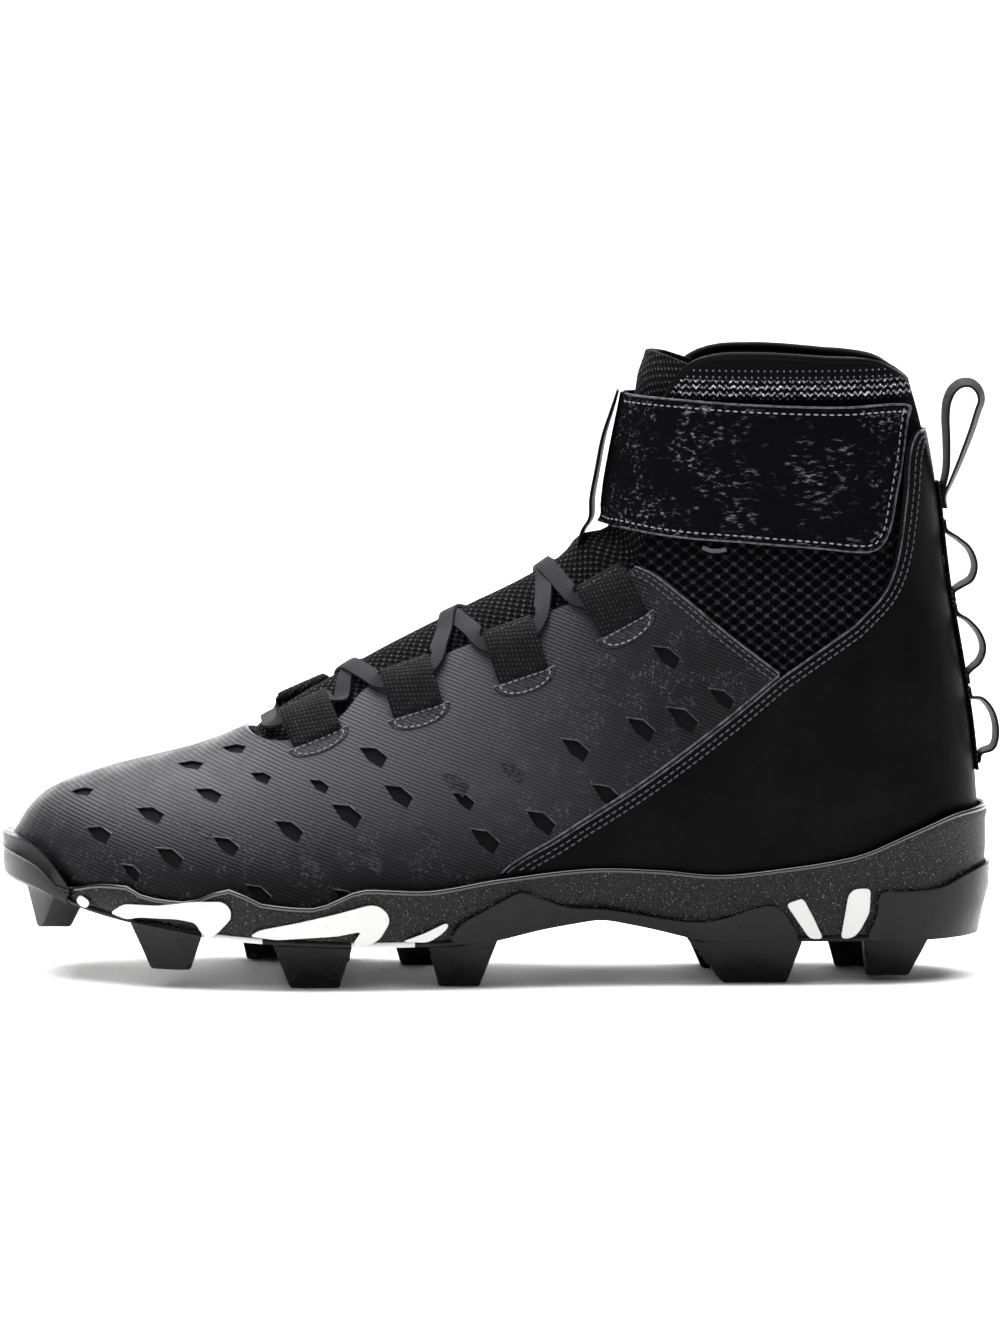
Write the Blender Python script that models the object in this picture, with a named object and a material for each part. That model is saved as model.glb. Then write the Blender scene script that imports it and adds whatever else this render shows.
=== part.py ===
"""American football cleat, high-top, left shoe.

Metres, +Z up, toe towards -X, outer (lateral) side towards -Y.
The origin is under the middle of the shoe, on the plane of the lug tips.
"""
import math

import bmesh
import bpy
import numpy as np

MM = 0.001

# Driving sizes of the last and the upper
LAST_LENGTH = 286.5 * MM
BALL_WIDTH = 95.5 * MM
UPPER_HEIGHT = 170.0 * MM
UPPER_WALL = 2.0 * MM
PANEL_WALL = 1.0 * MM
TONGUE_WALL = 3.5 * MM
STRAP_WALL = 1.7 * MM
FIT = 0.3 * MM

# Driving sizes of the sole
LUG_HEIGHT = 13.0 * MM
SOLE_RISE = 39.0 * MM
PLATE_WALL = 1.6 * MM
INSOLE_WALL = 3.0 * MM
WELT = 3.2 * MM
WALL_LEAN = 0.14
EDGE_CHAMFER = 1.2 * MM
POD_PROUD = 1.2 * MM
INSERT_PROUD = 0.7 * MM
LUG_LEAN = 9.0 * MM
LUG_ROOT = 0.7 * MM

# Driving sizes of webbing, laces and loops
LOOP_WIDTH = 15.5 * MM
LOOP_TAIL = 9.0 * MM
LOOP_REACH = 11.0 * MM
LOOP_BAND = 0.9 * MM
LOOP_EYE = 2.0 * MM
LACE_WIDTH = 5.5 * MM
LACE_THICKNESS = 1.2 * MM
LACE_EDGE = 0.085
LACE_CLEAR = 3.0 * MM
LACE_SINK = 6.0 * MM
SPINE_WIDTH = 9.0 * MM
SPINE_THICKNESS = 0.9 * MM
HEEL_LOOP_WIDTH = 7.0 * MM
HEEL_LOOP_BAND = 0.9 * MM
HEEL_LOOP_STANDOFF = 7.0 * MM
KEEPER_WIDTH = 14.0 * MM
KEEPER_THICKNESS = 0.9 * MM

# The toe bumper and the lowest heel loop reach past the last, and the whole is centred on X
TOE_REACH = WELT + POD_PROUD
TOE_X = TOE_REACH - (TOE_REACH + LAST_LENGTH + HEEL_LOOP_STANDOFF) / 2

# Mesh density of the lofts
TOE_TO_HEEL_STEPS = 17
HEEL_TO_TOP_STEPS = 8
ACROSS_STEPS = 18
ACROSS_CLOSER = 0.25

# Lines of the sole, seen from the side
# along the last, underside, foot bed: heights as shares of SOLE_RISE over the lug height
SOLE_LINES = (
    (0.000, 0.410, 0.515),
    (0.040, 0.330, 0.430),
    (0.075, 0.240, 0.350),
    (0.120, 0.165, 0.280),
    (0.170, 0.100, 0.210),
    (0.225, 0.050, 0.155),
    (0.300, 0.015, 0.120),
    (0.370, 0.000, 0.115),
    (0.430, 0.000, 0.118),
    (0.500, 0.040, 0.180),
    (0.550, 0.130, 0.255),
    (0.610, 0.200, 0.320),
    (0.660, 0.125, 0.345),
    (0.720, 0.010, 0.370),
    (0.800, 0.005, 0.385),
    (0.870, 0.005, 0.390),
    (0.930, 0.015, 0.395),
    (0.970, 0.090, 0.400),
    (1.000, 0.230, 0.405),
)

# Top edge of the midsole's wall: along, height
RIM_LINE = (
    (0.000, 0.680),
    (0.035, 0.580),
    (0.062, 0.400),
    (0.100, 0.450),
    (0.122, 0.450),
    (0.145, 0.370),
    (0.185, 0.345),
    (0.228, 0.450),
    (0.262, 0.340),
    (0.310, 0.310),
    (0.365, 0.450),
    (0.420, 0.430),
    (0.500, 0.510),
    (0.610, 0.580),
    (0.670, 0.560),
    (0.730, 0.520),
    (0.800, 0.570),
    (0.870, 0.660),
    (0.930, 0.850),
    (0.970, 0.970),
    (1.000, 1.000),
)

# Outline of the last's underside between toe and heel rounding:
# along, lateral and medial half width as shares of BALL_WIDTH
TOE_ROUND = 0.26
HEEL_ROUND = 0.83
OUTLINE = (
    (0.26, 0.498, 0.488),
    (0.32, 0.507, 0.472),
    (0.37, 0.495, 0.425),
    (0.44, 0.460, 0.352),
    (0.52, 0.408, 0.296),
    (0.60, 0.368, 0.274),
    (0.68, 0.344, 0.288),
    (0.76, 0.334, 0.312),
    (0.83, 0.330, 0.326),
)
TOE_SIDE = 0.095
TOE_FULLNESS = 2.0
HEEL_FULLNESS = 2.15

# Sections of the upper, fanned from the toe over the instep to the collar.
# base along and rise (None: on the foot bed's edge), crest along, rise and sideways,
# half width, share of the height where it is widest, fullness of the curve
SECTIONS = (
    (0.260, None, 0.000, None, 0.095, 0.493, 0.00, 2.00),
    (0.265, None, -0.003, 0.132, 0.094, 0.498, 0.06, 2.08),
    (0.275, None, 0.018, 0.194, 0.092, 0.503, 0.11, 2.18),
    (0.290, None, 0.060, 0.235, 0.088, 0.506, 0.15, 2.20),
    (0.315, None, 0.127, 0.268, 0.080, 0.506, 0.19, 2.15),
    (0.350, None, 0.203, 0.303, 0.068, 0.494, 0.21, 2.05),
    (0.398, None, 0.287, 0.372, 0.058, 0.463, 0.23, 1.95),
    (0.462, None, 0.371, 0.452, 0.048, 0.422, 0.25, 1.88),
    (0.545, None, 0.455, 0.527, 0.038, 0.384, 0.27, 1.85),
    (0.645, None, 0.525, 0.592, 0.028, 0.364, 0.29, 1.86),
    (0.755, None, 0.575, 0.647, 0.020, 0.361, 0.31, 1.90),
    (0.855, None, 0.612, 0.692, 0.014, 0.366, 0.34, 1.95),
    (0.925, None, 0.616, 0.733, 0.010, 0.370, 0.37, 1.98),
    (0.970, None, 0.619, 0.772, 0.007, 0.371, 0.39, 2.00),
    (0.993, None, 0.623, 0.808, 0.004, 0.369, 0.40, 2.03),
    (1.000, None, 0.627, 0.843, 0.002, 0.364, 0.41, 2.06),
    (1.003, 0.220, 0.631, 0.876, 0.000, 0.357, 0.42, 2.10),
    (0.988, 0.410, 0.635, 0.908, 0.000, 0.350, 0.43, 2.10),
    (0.968, 0.585, 0.639, 0.939, 0.000, 0.344, 0.44, 2.10),
    (0.958, 0.730, 0.643, 0.968, 0.000, 0.339, 0.45, 2.10),
    (0.946, 0.855, 0.647, 0.995, 0.000, 0.335, 0.46, 2.10),
    (0.931, 0.945, 0.651, 1.020, 0.000, 0.332, 0.47, 2.10),
    (0.910, 1.030, 0.655, 1.045, 0.000, 0.330, 0.48, 2.10),
)
CLOSING = sum(1 for row in SECTIONS if row[1] is None) - 1
TOP = len(SECTIONS) - 1

# Outlines of the panels from the side: along, rise as a share of UPPER_HEIGHT
THROAT_EDGE = (
    (0.222, 0.400),
    (0.232, 0.346),
    (0.258, 0.323),
    (0.300, 0.328),
    (0.340, 0.365),
    (0.366, 0.412),
    (0.440, 0.466),
    (0.550, 0.543),
    (0.608, 0.585),
    (0.640, 0.622),
    (0.655, 0.665),
    (0.662, 0.740),
    (0.668, 0.850),
    (0.680, 0.935),
    (0.700, 0.978),
    (0.725, 0.994),
    (0.770, 0.998),
    (0.840, 0.992),
    (0.895, 0.984),
    (0.914, 0.968),
    (0.935, 0.945),
)
EYESTAY_POINTS = 10
QUARTER_SEAM = (
    (0.470, -0.060),
    (0.500, 0.085),
    (0.570, 0.165),
    (0.655, 0.255),
    (0.735, 0.355),
    (0.795, 0.440),
)
QUARTER_TOP = (
    (0.870, 0.530),
    (0.900, 0.585),
    (0.913, 0.640),
    (0.922, 0.745),
    (0.928, 0.840),
    (0.938, 0.862),
    (0.975, 0.845),
)
VAMP_REAR = (
    (0.795, 0.448),
    (0.735, 0.525),
    (0.692, 0.585),
    (0.665, 0.618),
    (0.648, 0.628),
)
TONGUE_EDGE = (
    (0.255, 0.280),
    (0.350, 0.335),
    (0.440, 0.425),
    (0.530, 0.495),
    (0.600, 0.560),
    (0.655, 0.640),
    (0.685, 0.760),
    (0.700, 0.880),
    (0.706, 0.978),
)
TONGUE_TOP = (
    (0.677, 0.996),
    (0.660, 1.001),
    (0.645, 0.998),
    (0.600, 0.960),
)
STRAP_EDGE = (
    (0.560, 0.695),
    (0.600, 0.688),
    (0.680, 0.680),
    (0.760, 0.672),
    (0.840, 0.661),
    (0.870, 0.655),
    (0.886, 0.655),
    (0.897, 0.664),
    (0.906, 0.692),
    (0.912, 0.743),
    (0.919, 0.814),
    (0.924, 0.884),
    (0.926, 0.905),
    (0.850, 0.910),
    (0.760, 0.916),
    (0.680, 0.923),
    (0.560, 0.930),
)

# Outlines on the sole's side: along, height as a share of SOLE_RISE over the lug height
INSERTS = {
    "toe": ((0.0635, 0.300), (0.068, 0.362), (0.080, 0.308), (0.0745, 0.248)),
    "forefoot_front": (
        (0.100, 0.235), (0.115, 0.310), (0.150, 0.310), (0.190, 0.352), (0.219, 0.358), (0.227, 0.300),
        (0.227, 0.225), (0.213, 0.115), (0.205, 0.070), (0.197, 0.100), (0.190, 0.190), (0.170, 0.213),
        (0.130, 0.213), (0.118, 0.190),
    ),
    "forefoot_rear": (
        (0.246, 0.095), (0.257, 0.145), (0.295, 0.200), (0.337, 0.272), (0.370, 0.338), (0.380, 0.328),
        (0.389, 0.270), (0.391, 0.200), (0.381, 0.075), (0.370, 0.025), (0.356, 0.020), (0.353, 0.045),
        (0.362, 0.135), (0.337, 0.100), (0.274, 0.070),
    ),
    "ball": (
        (0.403, 0.050), (0.426, 0.110), (0.449, 0.190), (0.452, 0.165), (0.444, 0.100), (0.430, 0.040),
    ),
    "heel_front": ((0.801, 0.300), (0.819, 0.345), (0.832, 0.160), (0.840, 0.030), (0.826, 0.030)),
    "heel_rear": (
        (0.866, 0.375), (0.873, 0.415), (0.889, 0.415), (0.888, 0.230), (0.877, 0.080), (0.870, 0.035),
        (0.858, 0.030),
    ),
}
ARCH_POD = (
    (0.452, 0.010), (0.460, 0.165), (0.522, 0.405), (0.530, 0.412), (0.552, 0.350), (0.575, 0.278),
    (0.612, 0.272), (0.652, 0.222), (0.675, 0.187), (0.704, 0.160), (0.725, 0.165), (0.746, 0.205),
    (0.767, 0.268), (0.794, 0.300), (0.819, 0.010), (0.720, 0.005), (0.660, 0.115), (0.610, 0.190),
    (0.550, 0.120), (0.500, 0.035),
)
HEEL_POD = (
    (0.884, 0.010), (0.897, 0.230), (0.897, 0.395), (0.925, 0.385), (0.948, 0.388), (0.966, 0.400),
    (0.990, 0.490), (1.040, 0.610), (1.040, 0.000), (0.950, 0.000),
)
TOE_BUMPER = (
    (-0.040, 0.760), (0.000, 0.750), (0.014, 0.725), (0.032, 0.630), (0.048, 0.490), (0.059, 0.385),
    (0.053, 0.310), (0.0580, 0.265), (0.040, 0.325), (0.000, 0.400), (-0.040, 0.400),
)

# Lugs: along at the root's front and rear, along at the tip's front and rear,
# sideways at the root's and the tip's inner face and the tip's outer face, lift of the tip
LUG_COLUMNS = ("root_front", "root_rear", "tip_front", "tip_rear", "root_in", "tip_in", "tip_out", "lift")
LUGS = {
    "toe_lateral": (0.010, 0.069, 0.021, 0.056, -0.04, -0.02, 0.14, 1.18),
    "toe_medial": (0.010, 0.069, 0.021, 0.056, 0.15, 0.17, 0.33, 1.18),
    "forefoot_front_lateral": (0.122, 0.196, 0.143, 0.184, 0.26, 0.30, 0.42, 0.42),
    "forefoot_front_medial": (0.225, 0.285, 0.236, 0.277, 0.28, 0.32, 0.43, 0.05),
    "forefoot_rear_lateral": (0.270, 0.352, 0.287, 0.338, 0.26, 0.30, 0.42, 0.0),
    "forefoot_rear_medial": (0.300, 0.350, 0.307, 0.345, 0.24, 0.28, 0.39, 0.0),
    "ball_lateral": (0.430, 0.502, 0.441, 0.483, 0.22, 0.26, 0.37, 0.0),
    "ball_medial": (0.387, 0.452, 0.400, 0.436, 0.17, 0.21, 0.31, 0.0),
    "heel_front_lateral": (0.698, 0.818, 0.736, 0.803, 0.10, 0.14, 0.27, 0.0),
    "heel_front_medial": (0.694, 0.808, 0.717, 0.785, 0.09, 0.13, 0.255, 0.0),
    "heel_rear_lateral": (0.882, 0.952, 0.886, 0.930, 0.07, 0.10, 0.22, 0.12),
    "heel_rear_medial": (0.845, 0.945, 0.857, 0.915, 0.07, 0.10, 0.22, 0.06),
}

# Places along the fan of sections, and down from the crest, where the lace loops sit
LACE_LOOPS = (
    (6.15, 0.385),
    (7.35, 0.365),
    (8.65, 0.358),
    (10.32, 0.375),
)

# Ribbons seen from the side, as standoff from the heel's back line and rise
PULL_LOOP = (
    (1.4, 0.752), (3.6, 0.790), (5.2, 0.840), (6.6, 0.885), (8.4, 0.912), (11.0, 0.931), (14.2, 0.942),
    (17.2, 0.942), (18.8, 0.930), (18.6, 0.912), (16.6, 0.892), (13.6, 0.860), (10.3, 0.826), (7.2, 0.794),
    (4.4, 0.766), (2.6, 0.742),
)
HEEL_LOOPS = (
    ((1.2, 0.684), (4.5, 0.668), (7.6, 0.650), (8.8, 0.622), (7.2, 0.598), (3.5, 0.585), (1.2, 0.575)),
    ((1.2, 0.537), (4.2, 0.522), (6.6, 0.500), (7.0, 0.474), (5.0, 0.452), (2.6, 0.440), (1.2, 0.430)),
    ((1.2, 0.388), (3.8, 0.384), (6.2, 0.360), (6.4, 0.325), (4.8, 0.300), (1.8, 0.290)),
)

COLOURS = {
    "knit": (0.020, 0.020, 0.022, 0.85),
    "vamp_synthetic": (0.045, 0.045, 0.048, 0.55),
    "quarter_synthetic": (0.018, 0.018, 0.019, 0.45),
    "stippled_rubber": (0.028, 0.028, 0.030, 0.60),
    "smooth_plastic": (0.030, 0.030, 0.032, 0.35),
    "white_plastic": (0.80, 0.80, 0.80, 0.45),
    "webbing": (0.025, 0.025, 0.027, 0.80),
    "lace": (0.110, 0.110, 0.115, 0.70),
    "foam": (0.030, 0.030, 0.032, 0.90),
}


def spline(knots, values):
    """A natural cubic spline through the knots, as a function."""
    x = np.array(knots, float)
    y = np.array(values, float)
    step = np.diff(x)
    slope = np.diff(y) / step
    matrix = np.eye(len(x))
    right = np.zeros(len(x))
    for i in range(1, len(x) - 1):
        matrix[i, i - 1:i + 2] = (step[i - 1], 2 * (step[i - 1] + step[i]), step[i])
        right[i] = 3 * (slope[i] - slope[i - 1])
    bend = np.linalg.solve(matrix, right)

    def value(q):
        q = np.clip(q, x[0], x[-1])
        i = np.clip(np.searchsorted(x, q) - 1, 0, len(x) - 2)
        t = q - x[i]
        first = slope[i] - step[i] * (2 * bend[i] + bend[i + 1]) / 3
        return y[i] + first * t + bend[i] * t ** 2 + (bend[i + 1] - bend[i]) / (3 * step[i]) * t ** 3
    return value


def steady_curve(knots, values):
    """A smooth curve through the knots that never swings past them, as a function."""
    x = np.array(knots, float)
    y = np.array(values, float)
    step = np.diff(x)
    slope = np.diff(y) / step
    tangent = np.zeros(len(x))
    tangent[0] = slope[0]
    tangent[-1] = slope[-1]
    for i in range(1, len(x) - 1):
        if slope[i - 1] * slope[i] > 0:
            tangent[i] = 2 / (1 / slope[i - 1] + 1 / slope[i])

    def value(q):
        q = np.clip(q, x[0], x[-1])
        i = np.clip(np.searchsorted(x, q) - 1, 0, len(x) - 2)
        t = (q - x[i]) / step[i]
        return ((2 * t ** 3 - 3 * t ** 2 + 1) * y[i] + (t ** 3 - 2 * t ** 2 + t) * step[i] * tangent[i]
                + (3 * t ** 2 - 2 * t ** 3) * y[i + 1] + (t ** 3 - t ** 2) * step[i] * tangent[i + 1])
    return value


def column(table, index):
    return [row[index] for row in table]


def along(share):
    """X of a place given as a share of the last's length."""
    return TOE_X + share * LAST_LENGTH


def sole_height(share):
    """Z of a height on the sole."""
    return LUG_HEIGHT + share * SOLE_RISE


underside_share = steady_curve(column(SOLE_LINES, 0), column(SOLE_LINES, 1))
bed_share = steady_curve(column(SOLE_LINES, 0), column(SOLE_LINES, 2))
rim_share = steady_curve(column(RIM_LINE, 0), column(RIM_LINE, 1))
BALL_BED = sole_height(min(column(SOLE_LINES, 2)))


def underside(share):
    return sole_height(underside_share(share))


def foot_bed(share):
    return sole_height(bed_share(share))


def rim(share):
    return sole_height(rim_share(share))


def upper_height(share):
    """Z of a height on the upper."""
    return BALL_BED + share * UPPER_HEIGHT


lateral_share = spline(column(OUTLINE, 0), column(OUTLINE, 1))
medial_share = spline(column(OUTLINE, 0), column(OUTLINE, 2))


def half_and_middle(share):
    """Half width and middle line of the last's underside."""
    inner = min(max(share, TOE_ROUND), HEEL_ROUND)
    half = (lateral_share(inner) + medial_share(inner)) / 2
    middle = (medial_share(inner) - lateral_share(inner)) / 2
    if share < TOE_ROUND:
        reach = (TOE_ROUND - share) / TOE_ROUND
        half *= max(0.0, 1 - reach ** TOE_FULLNESS) ** (1 / TOE_FULLNESS)
        middle += (TOE_SIDE - middle) * reach
    if share > HEEL_ROUND:
        reach = min(1.0, (share - HEEL_ROUND) / (1 - HEEL_ROUND))
        half *= max(0.0, 1 - reach ** HEEL_FULLNESS) ** (1 / HEEL_FULLNESS)
        middle *= 1 - reach
    return half * BALL_WIDTH, middle * BALL_WIDTH


def section_splines():
    """One function of the fan's position for each column of SECTIONS."""
    feather = list(range(CLOSING + 1))
    rings = list(range(CLOSING, TOP + 1))
    everywhere = list(range(TOP + 1))
    heel_rise = (foot_bed(1.0) - BALL_BED) / UPPER_HEIGHT
    toe_rise = (foot_bed(0.0) - BALL_BED) / UPPER_HEIGHT
    return {
        "feather_along": spline(feather, [SECTIONS[i][0] for i in feather]),
        "back_along": spline(rings, [SECTIONS[i][0] for i in rings]),
        "back_rise": spline(rings, [heel_rise] + [SECTIONS[i][1] for i in rings[1:]]),
        "crest_along": spline(everywhere, column(SECTIONS, 2)),
        "crest_rise": spline(everywhere, [toe_rise] + column(SECTIONS, 3)[1:]),
        "crest_side": spline(everywhere, column(SECTIONS, 4)),
        "half": spline(everywhere, column(SECTIONS, 5)),
        "widest": spline(everywhere, column(SECTIONS, 6)),
        "fullness": spline(everywhere, column(SECTIONS, 7)),
    }


FAN = section_splines()
CURVES = {}

# The first sections share their base, so directions there are read a little way up
PIVOT_ROWS = 3
PIVOT_MARGIN = 0.03


def section_curve(place):
    """The upper's cross-section at one place of the fan, from lateral base over the crest."""
    key = round(float(place), 6)
    if key in CURVES:
        return CURVES[key]
    if place <= CLOSING:
        share = min(float(FAN["feather_along"](place)), 1.0)
        base_half, base_side = half_and_middle(share)
        base = np.array((along(share), base_side, foot_bed(share)))
    else:
        base_half = 0.0
        base = np.array((along(FAN["back_along"](place)), 0.0, upper_height(FAN["back_rise"](place))))
    crest = np.array((along(FAN["crest_along"](place)), FAN["crest_side"](place) * BALL_WIDTH,
                      upper_height(FAN["crest_rise"](place))))
    half = float(FAN["half"](place)) * BALL_WIDTH
    widest = max(float(FAN["widest"](place)), 0.0)
    power = float(FAN["fullness"](place))
    turn = np.linspace(0, math.pi / 2, 40)
    below = np.cos(turn) ** (2 / power)
    below[-1] = 0.0
    above = np.sin(turn[1:]) ** (2 / power)
    kept = 1 - (base_half / half) ** power
    height = np.concatenate((widest * (1 - below), widest + (1 - widest) * above))
    width = half * np.concatenate(((1 - below ** power * kept) ** (1 / power),
                                   np.clip(1 - above ** power, 0, None) ** (1 / power)))
    middle = base + np.outer(height, crest - base)
    outward = np.outer(width, (0.0, 1.0, 0.0))
    points = np.concatenate((middle - outward, (middle + outward)[-2::-1]))
    run = np.concatenate(((0.0,), np.cumsum(np.linalg.norm(np.diff(points, axis=0), axis=1))))
    CURVES[key] = (run / run[-1], points)
    return CURVES[key]


def on_section(place, across):
    run, points = section_curve(place)
    if place >= CLOSING:
        across = np.where(np.abs(across - 0.5) > 0.5, across % 1.0, across)
    across = np.clip(across, 0.0, 1.0)
    return np.stack([np.interp(across, run, points[:, i]) for i in range(3)], axis=-1)


def last_row(place, across, offset=0.0):
    """Points of the upper's surface at one place of the fan, moved out by offset."""
    across = np.asarray(across, float)
    here = on_section(place, across)
    lowest = CLOSING if place >= CLOSING else 0.0
    if place < PIVOT_ROWS:
        across = np.clip(across, PIVOT_MARGIN, 1 - PIVOT_MARGIN)
    forward = on_section(min(place + 0.03, TOP), across) - on_section(max(place - 0.03, lowest), across)
    sideways = on_section(place, across + 0.006) - on_section(place, across - 0.006)
    normal = np.cross(forward, sideways)
    normal /= np.linalg.norm(normal, axis=-1, keepdims=True)
    return here + offset * normal


def last_point(place, across, offset=0.0):
    return last_row(place, [across], offset)[0]


def fan_places():
    to_heel = np.linspace(0, CLOSING, TOE_TO_HEEL_STEPS + 1)
    to_top = np.linspace(CLOSING, TOP, HEEL_TO_TOP_STEPS + 1)
    return np.concatenate((to_heel, to_top[1:]))


def last_grid(offset):
    """The whole surface of the upper as rows of points."""
    even = np.linspace(0, 1, ACROSS_STEPS + 1)
    across = even - ACROSS_CLOSER * np.sin(4 * math.pi * even) / (4 * math.pi)
    rows = []
    for place in fan_places():
        row = last_row(place, across, offset)
        if place >= CLOSING:
            seam = (row[0] + row[-1]) / 2
            seam[1] = 0.0
            row[0] = seam
            row[-1] = seam
        rows.append(row)
    return rows


def clear_scene():
    for item in list(bpy.data.objects):
        bpy.data.objects.remove(item, do_unlink=True)


def new_collection(name):
    collection = bpy.data.collections.new(name)
    bpy.context.scene.collection.children.link(collection)
    return collection


def material(finish):
    """One material for each finish, made once."""
    found = bpy.data.materials.get(finish)
    if found:
        return found
    red, green, blue, rough = COLOURS[finish]
    made = bpy.data.materials.new(finish)
    made.use_nodes = True
    shader = made.node_tree.nodes["Principled BSDF"]
    shader.inputs["Base Color"].default_value = (red, green, blue, 1.0)
    shader.inputs["Roughness"].default_value = rough
    shader.inputs["Metallic"].default_value = 0.0
    made.diffuse_color = (red, green, blue, 1.0)
    return made


def add_mesh(name, bm, finish=None):
    """An object from a bmesh: a part when it has a finish, else a cutter."""
    bmesh.ops.remove_doubles(bm, verts=bm.verts, dist=1e-7)
    mesh = bpy.data.meshes.new(name)
    bm.to_mesh(mesh)
    bm.free()
    made = bpy.data.objects.new(name, mesh)
    if finish:
        PARTS.objects.link(made)
        mesh.materials.append(material(finish))
    else:
        CUTTERS.objects.link(made)
        made.hide_render = True
        made.display_type = "WIRE"
    return made


def face_outwards(bm):
    bm.normal_update()
    bmesh.ops.recalc_face_normals(bm, faces=bm.faces)


def boolean(made, cutter, operation):
    step = made.modifiers.new(operation.title(), "BOOLEAN")
    step.operation = operation
    step.object = cutter
    step.solver = "EXACT"


def wall_faces(bm, rows, outward):
    """The faces between neighbouring rows of points, each square split the same way in every shell."""
    for lower, higher in zip(rows, rows[1:]):
        for j in range(ACROSS_STEPS):
            if j < ACROSS_STEPS // 2:
                halves = ((lower[j], higher[j], higher[j + 1]), (lower[j], higher[j + 1], lower[j + 1]))
            else:
                halves = ((lower[j], higher[j], lower[j + 1]), (higher[j], higher[j + 1], lower[j + 1]))
            for corners in halves:
                bm.faces.new(corners if outward else corners[::-1])


def shell(name, outer, wall, finish):
    """A wall that follows the upper's surface, open underneath and at the top."""
    bm = bmesh.new()
    outside = [[bm.verts.new(point) for point in row] for row in last_grid(outer)]
    inside = [[bm.verts.new(point) for point in row] for row in last_grid(outer - wall)]
    wall_faces(bm, outside, True)
    wall_faces(bm, inside, False)
    feather = range(TOE_TO_HEEL_STEPS)
    for j in range(ACROSS_STEPS):
        bm.faces.new((outside[0][j], outside[0][j + 1], inside[0][j + 1], inside[0][j]))
        bm.faces.new((outside[-1][j + 1], outside[-1][j], inside[-1][j], inside[-1][j + 1]))
    for i in feather:
        bm.faces.new((outside[i + 1][0], outside[i][0], inside[i][0], inside[i + 1][0]))
        bm.faces.new((outside[i][-1], outside[i + 1][-1], inside[i + 1][-1], inside[i][-1]))
    return add_mesh(name, bm, finish)


def filled_last(name, offset, drop):
    """The room that the lasted upper takes, closed at the top and a little under its edge."""
    bm = bmesh.new()
    rows = [[bm.verts.new(point) for point in row] for row in last_grid(offset)]
    wall_faces(bm, rows, True)

    def lowered(vert):
        return bm.verts.new((vert.co.x, vert.co.y, vert.co.z - drop))

    toe = rows[0]
    low_toe = [lowered(vert) for vert in toe]
    lateral = [low_toe[0]] + [lowered(row[0]) for row in rows[1:TOE_TO_HEEL_STEPS + 1]]
    medial = [low_toe[-1]] + [lowered(row[-1]) for row in rows[1:TOE_TO_HEEL_STEPS + 1]]
    for j in range(ACROSS_STEPS):
        bm.faces.new((toe[j], toe[j + 1], low_toe[j + 1], low_toe[j]))
    for i in range(TOE_TO_HEEL_STEPS):
        bm.faces.new((rows[i][0], lateral[i], lateral[i + 1], rows[i + 1][0]))
        bm.faces.new((rows[i][-1], rows[i + 1][-1], medial[i + 1], medial[i]))
        bm.faces.new((lateral[i], medial[i], medial[i + 1], lateral[i + 1]))
    for j in range(ACROSS_STEPS // 2 - 1):
        bm.faces.new((low_toe[j], low_toe[j + 1], low_toe[-2 - j], low_toe[-1 - j]))
    middle = ACROSS_STEPS // 2
    bm.faces.new((low_toe[middle - 1], low_toe[middle], low_toe[middle + 1]))
    bm.faces.new(rows[-1][:-1])
    bmesh.ops.remove_doubles(bm, verts=bm.verts, dist=1e-7)
    face_outwards(bm)
    return add_mesh(name, bm)


def prism(name, outline, near, far, finish=None):
    """A flat outline of X and Z pairs, from y = near to y = far."""
    curve = bpy.data.curves.new(name, "CURVE")
    curve.dimensions = "2D"
    curve.fill_mode = "BOTH"
    curve.extrude = (far - near) / 2
    run = curve.splines.new("POLY")
    run.points.add(len(outline) - 1)
    for point, (x, z) in zip(run.points, outline):
        point.co = (x, z, 0.0, 1.0)
    run.use_cyclic_u = True
    shape = bpy.data.objects.new(name, curve)
    bpy.context.scene.collection.objects.link(shape)
    shape.location = (0.0, (near + far) / 2, 0.0)
    shape.rotation_euler = (math.pi / 2, 0.0, 0.0)
    bpy.context.view_layer.update()
    evaluated = shape.evaluated_get(bpy.context.evaluated_depsgraph_get())
    mesh = bpy.data.meshes.new_from_object(evaluated)
    bm = bmesh.new()
    bm.from_mesh(mesh)
    bmesh.ops.transform(bm, matrix=shape.matrix_world, verts=bm.verts)
    bmesh.ops.remove_doubles(bm, verts=bm.verts, dist=1e-6)
    face_outwards(bm)
    bpy.data.objects.remove(shape, do_unlink=True)
    bpy.data.meshes.remove(mesh)
    return add_mesh(name, bm, finish)


def upper_outline(points):
    return [(along(a), upper_height(r)) for a, r in points]


def sole_outline(points):
    return [(along(a), sole_height(h)) for a, h in points]


def shifted(outline, right, up):
    return [(x + right, z + up) for x, z in outline]


FAR = 0.09


def full_prism(name, outline):
    return prism(name, outline, -FAR, FAR)


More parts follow.
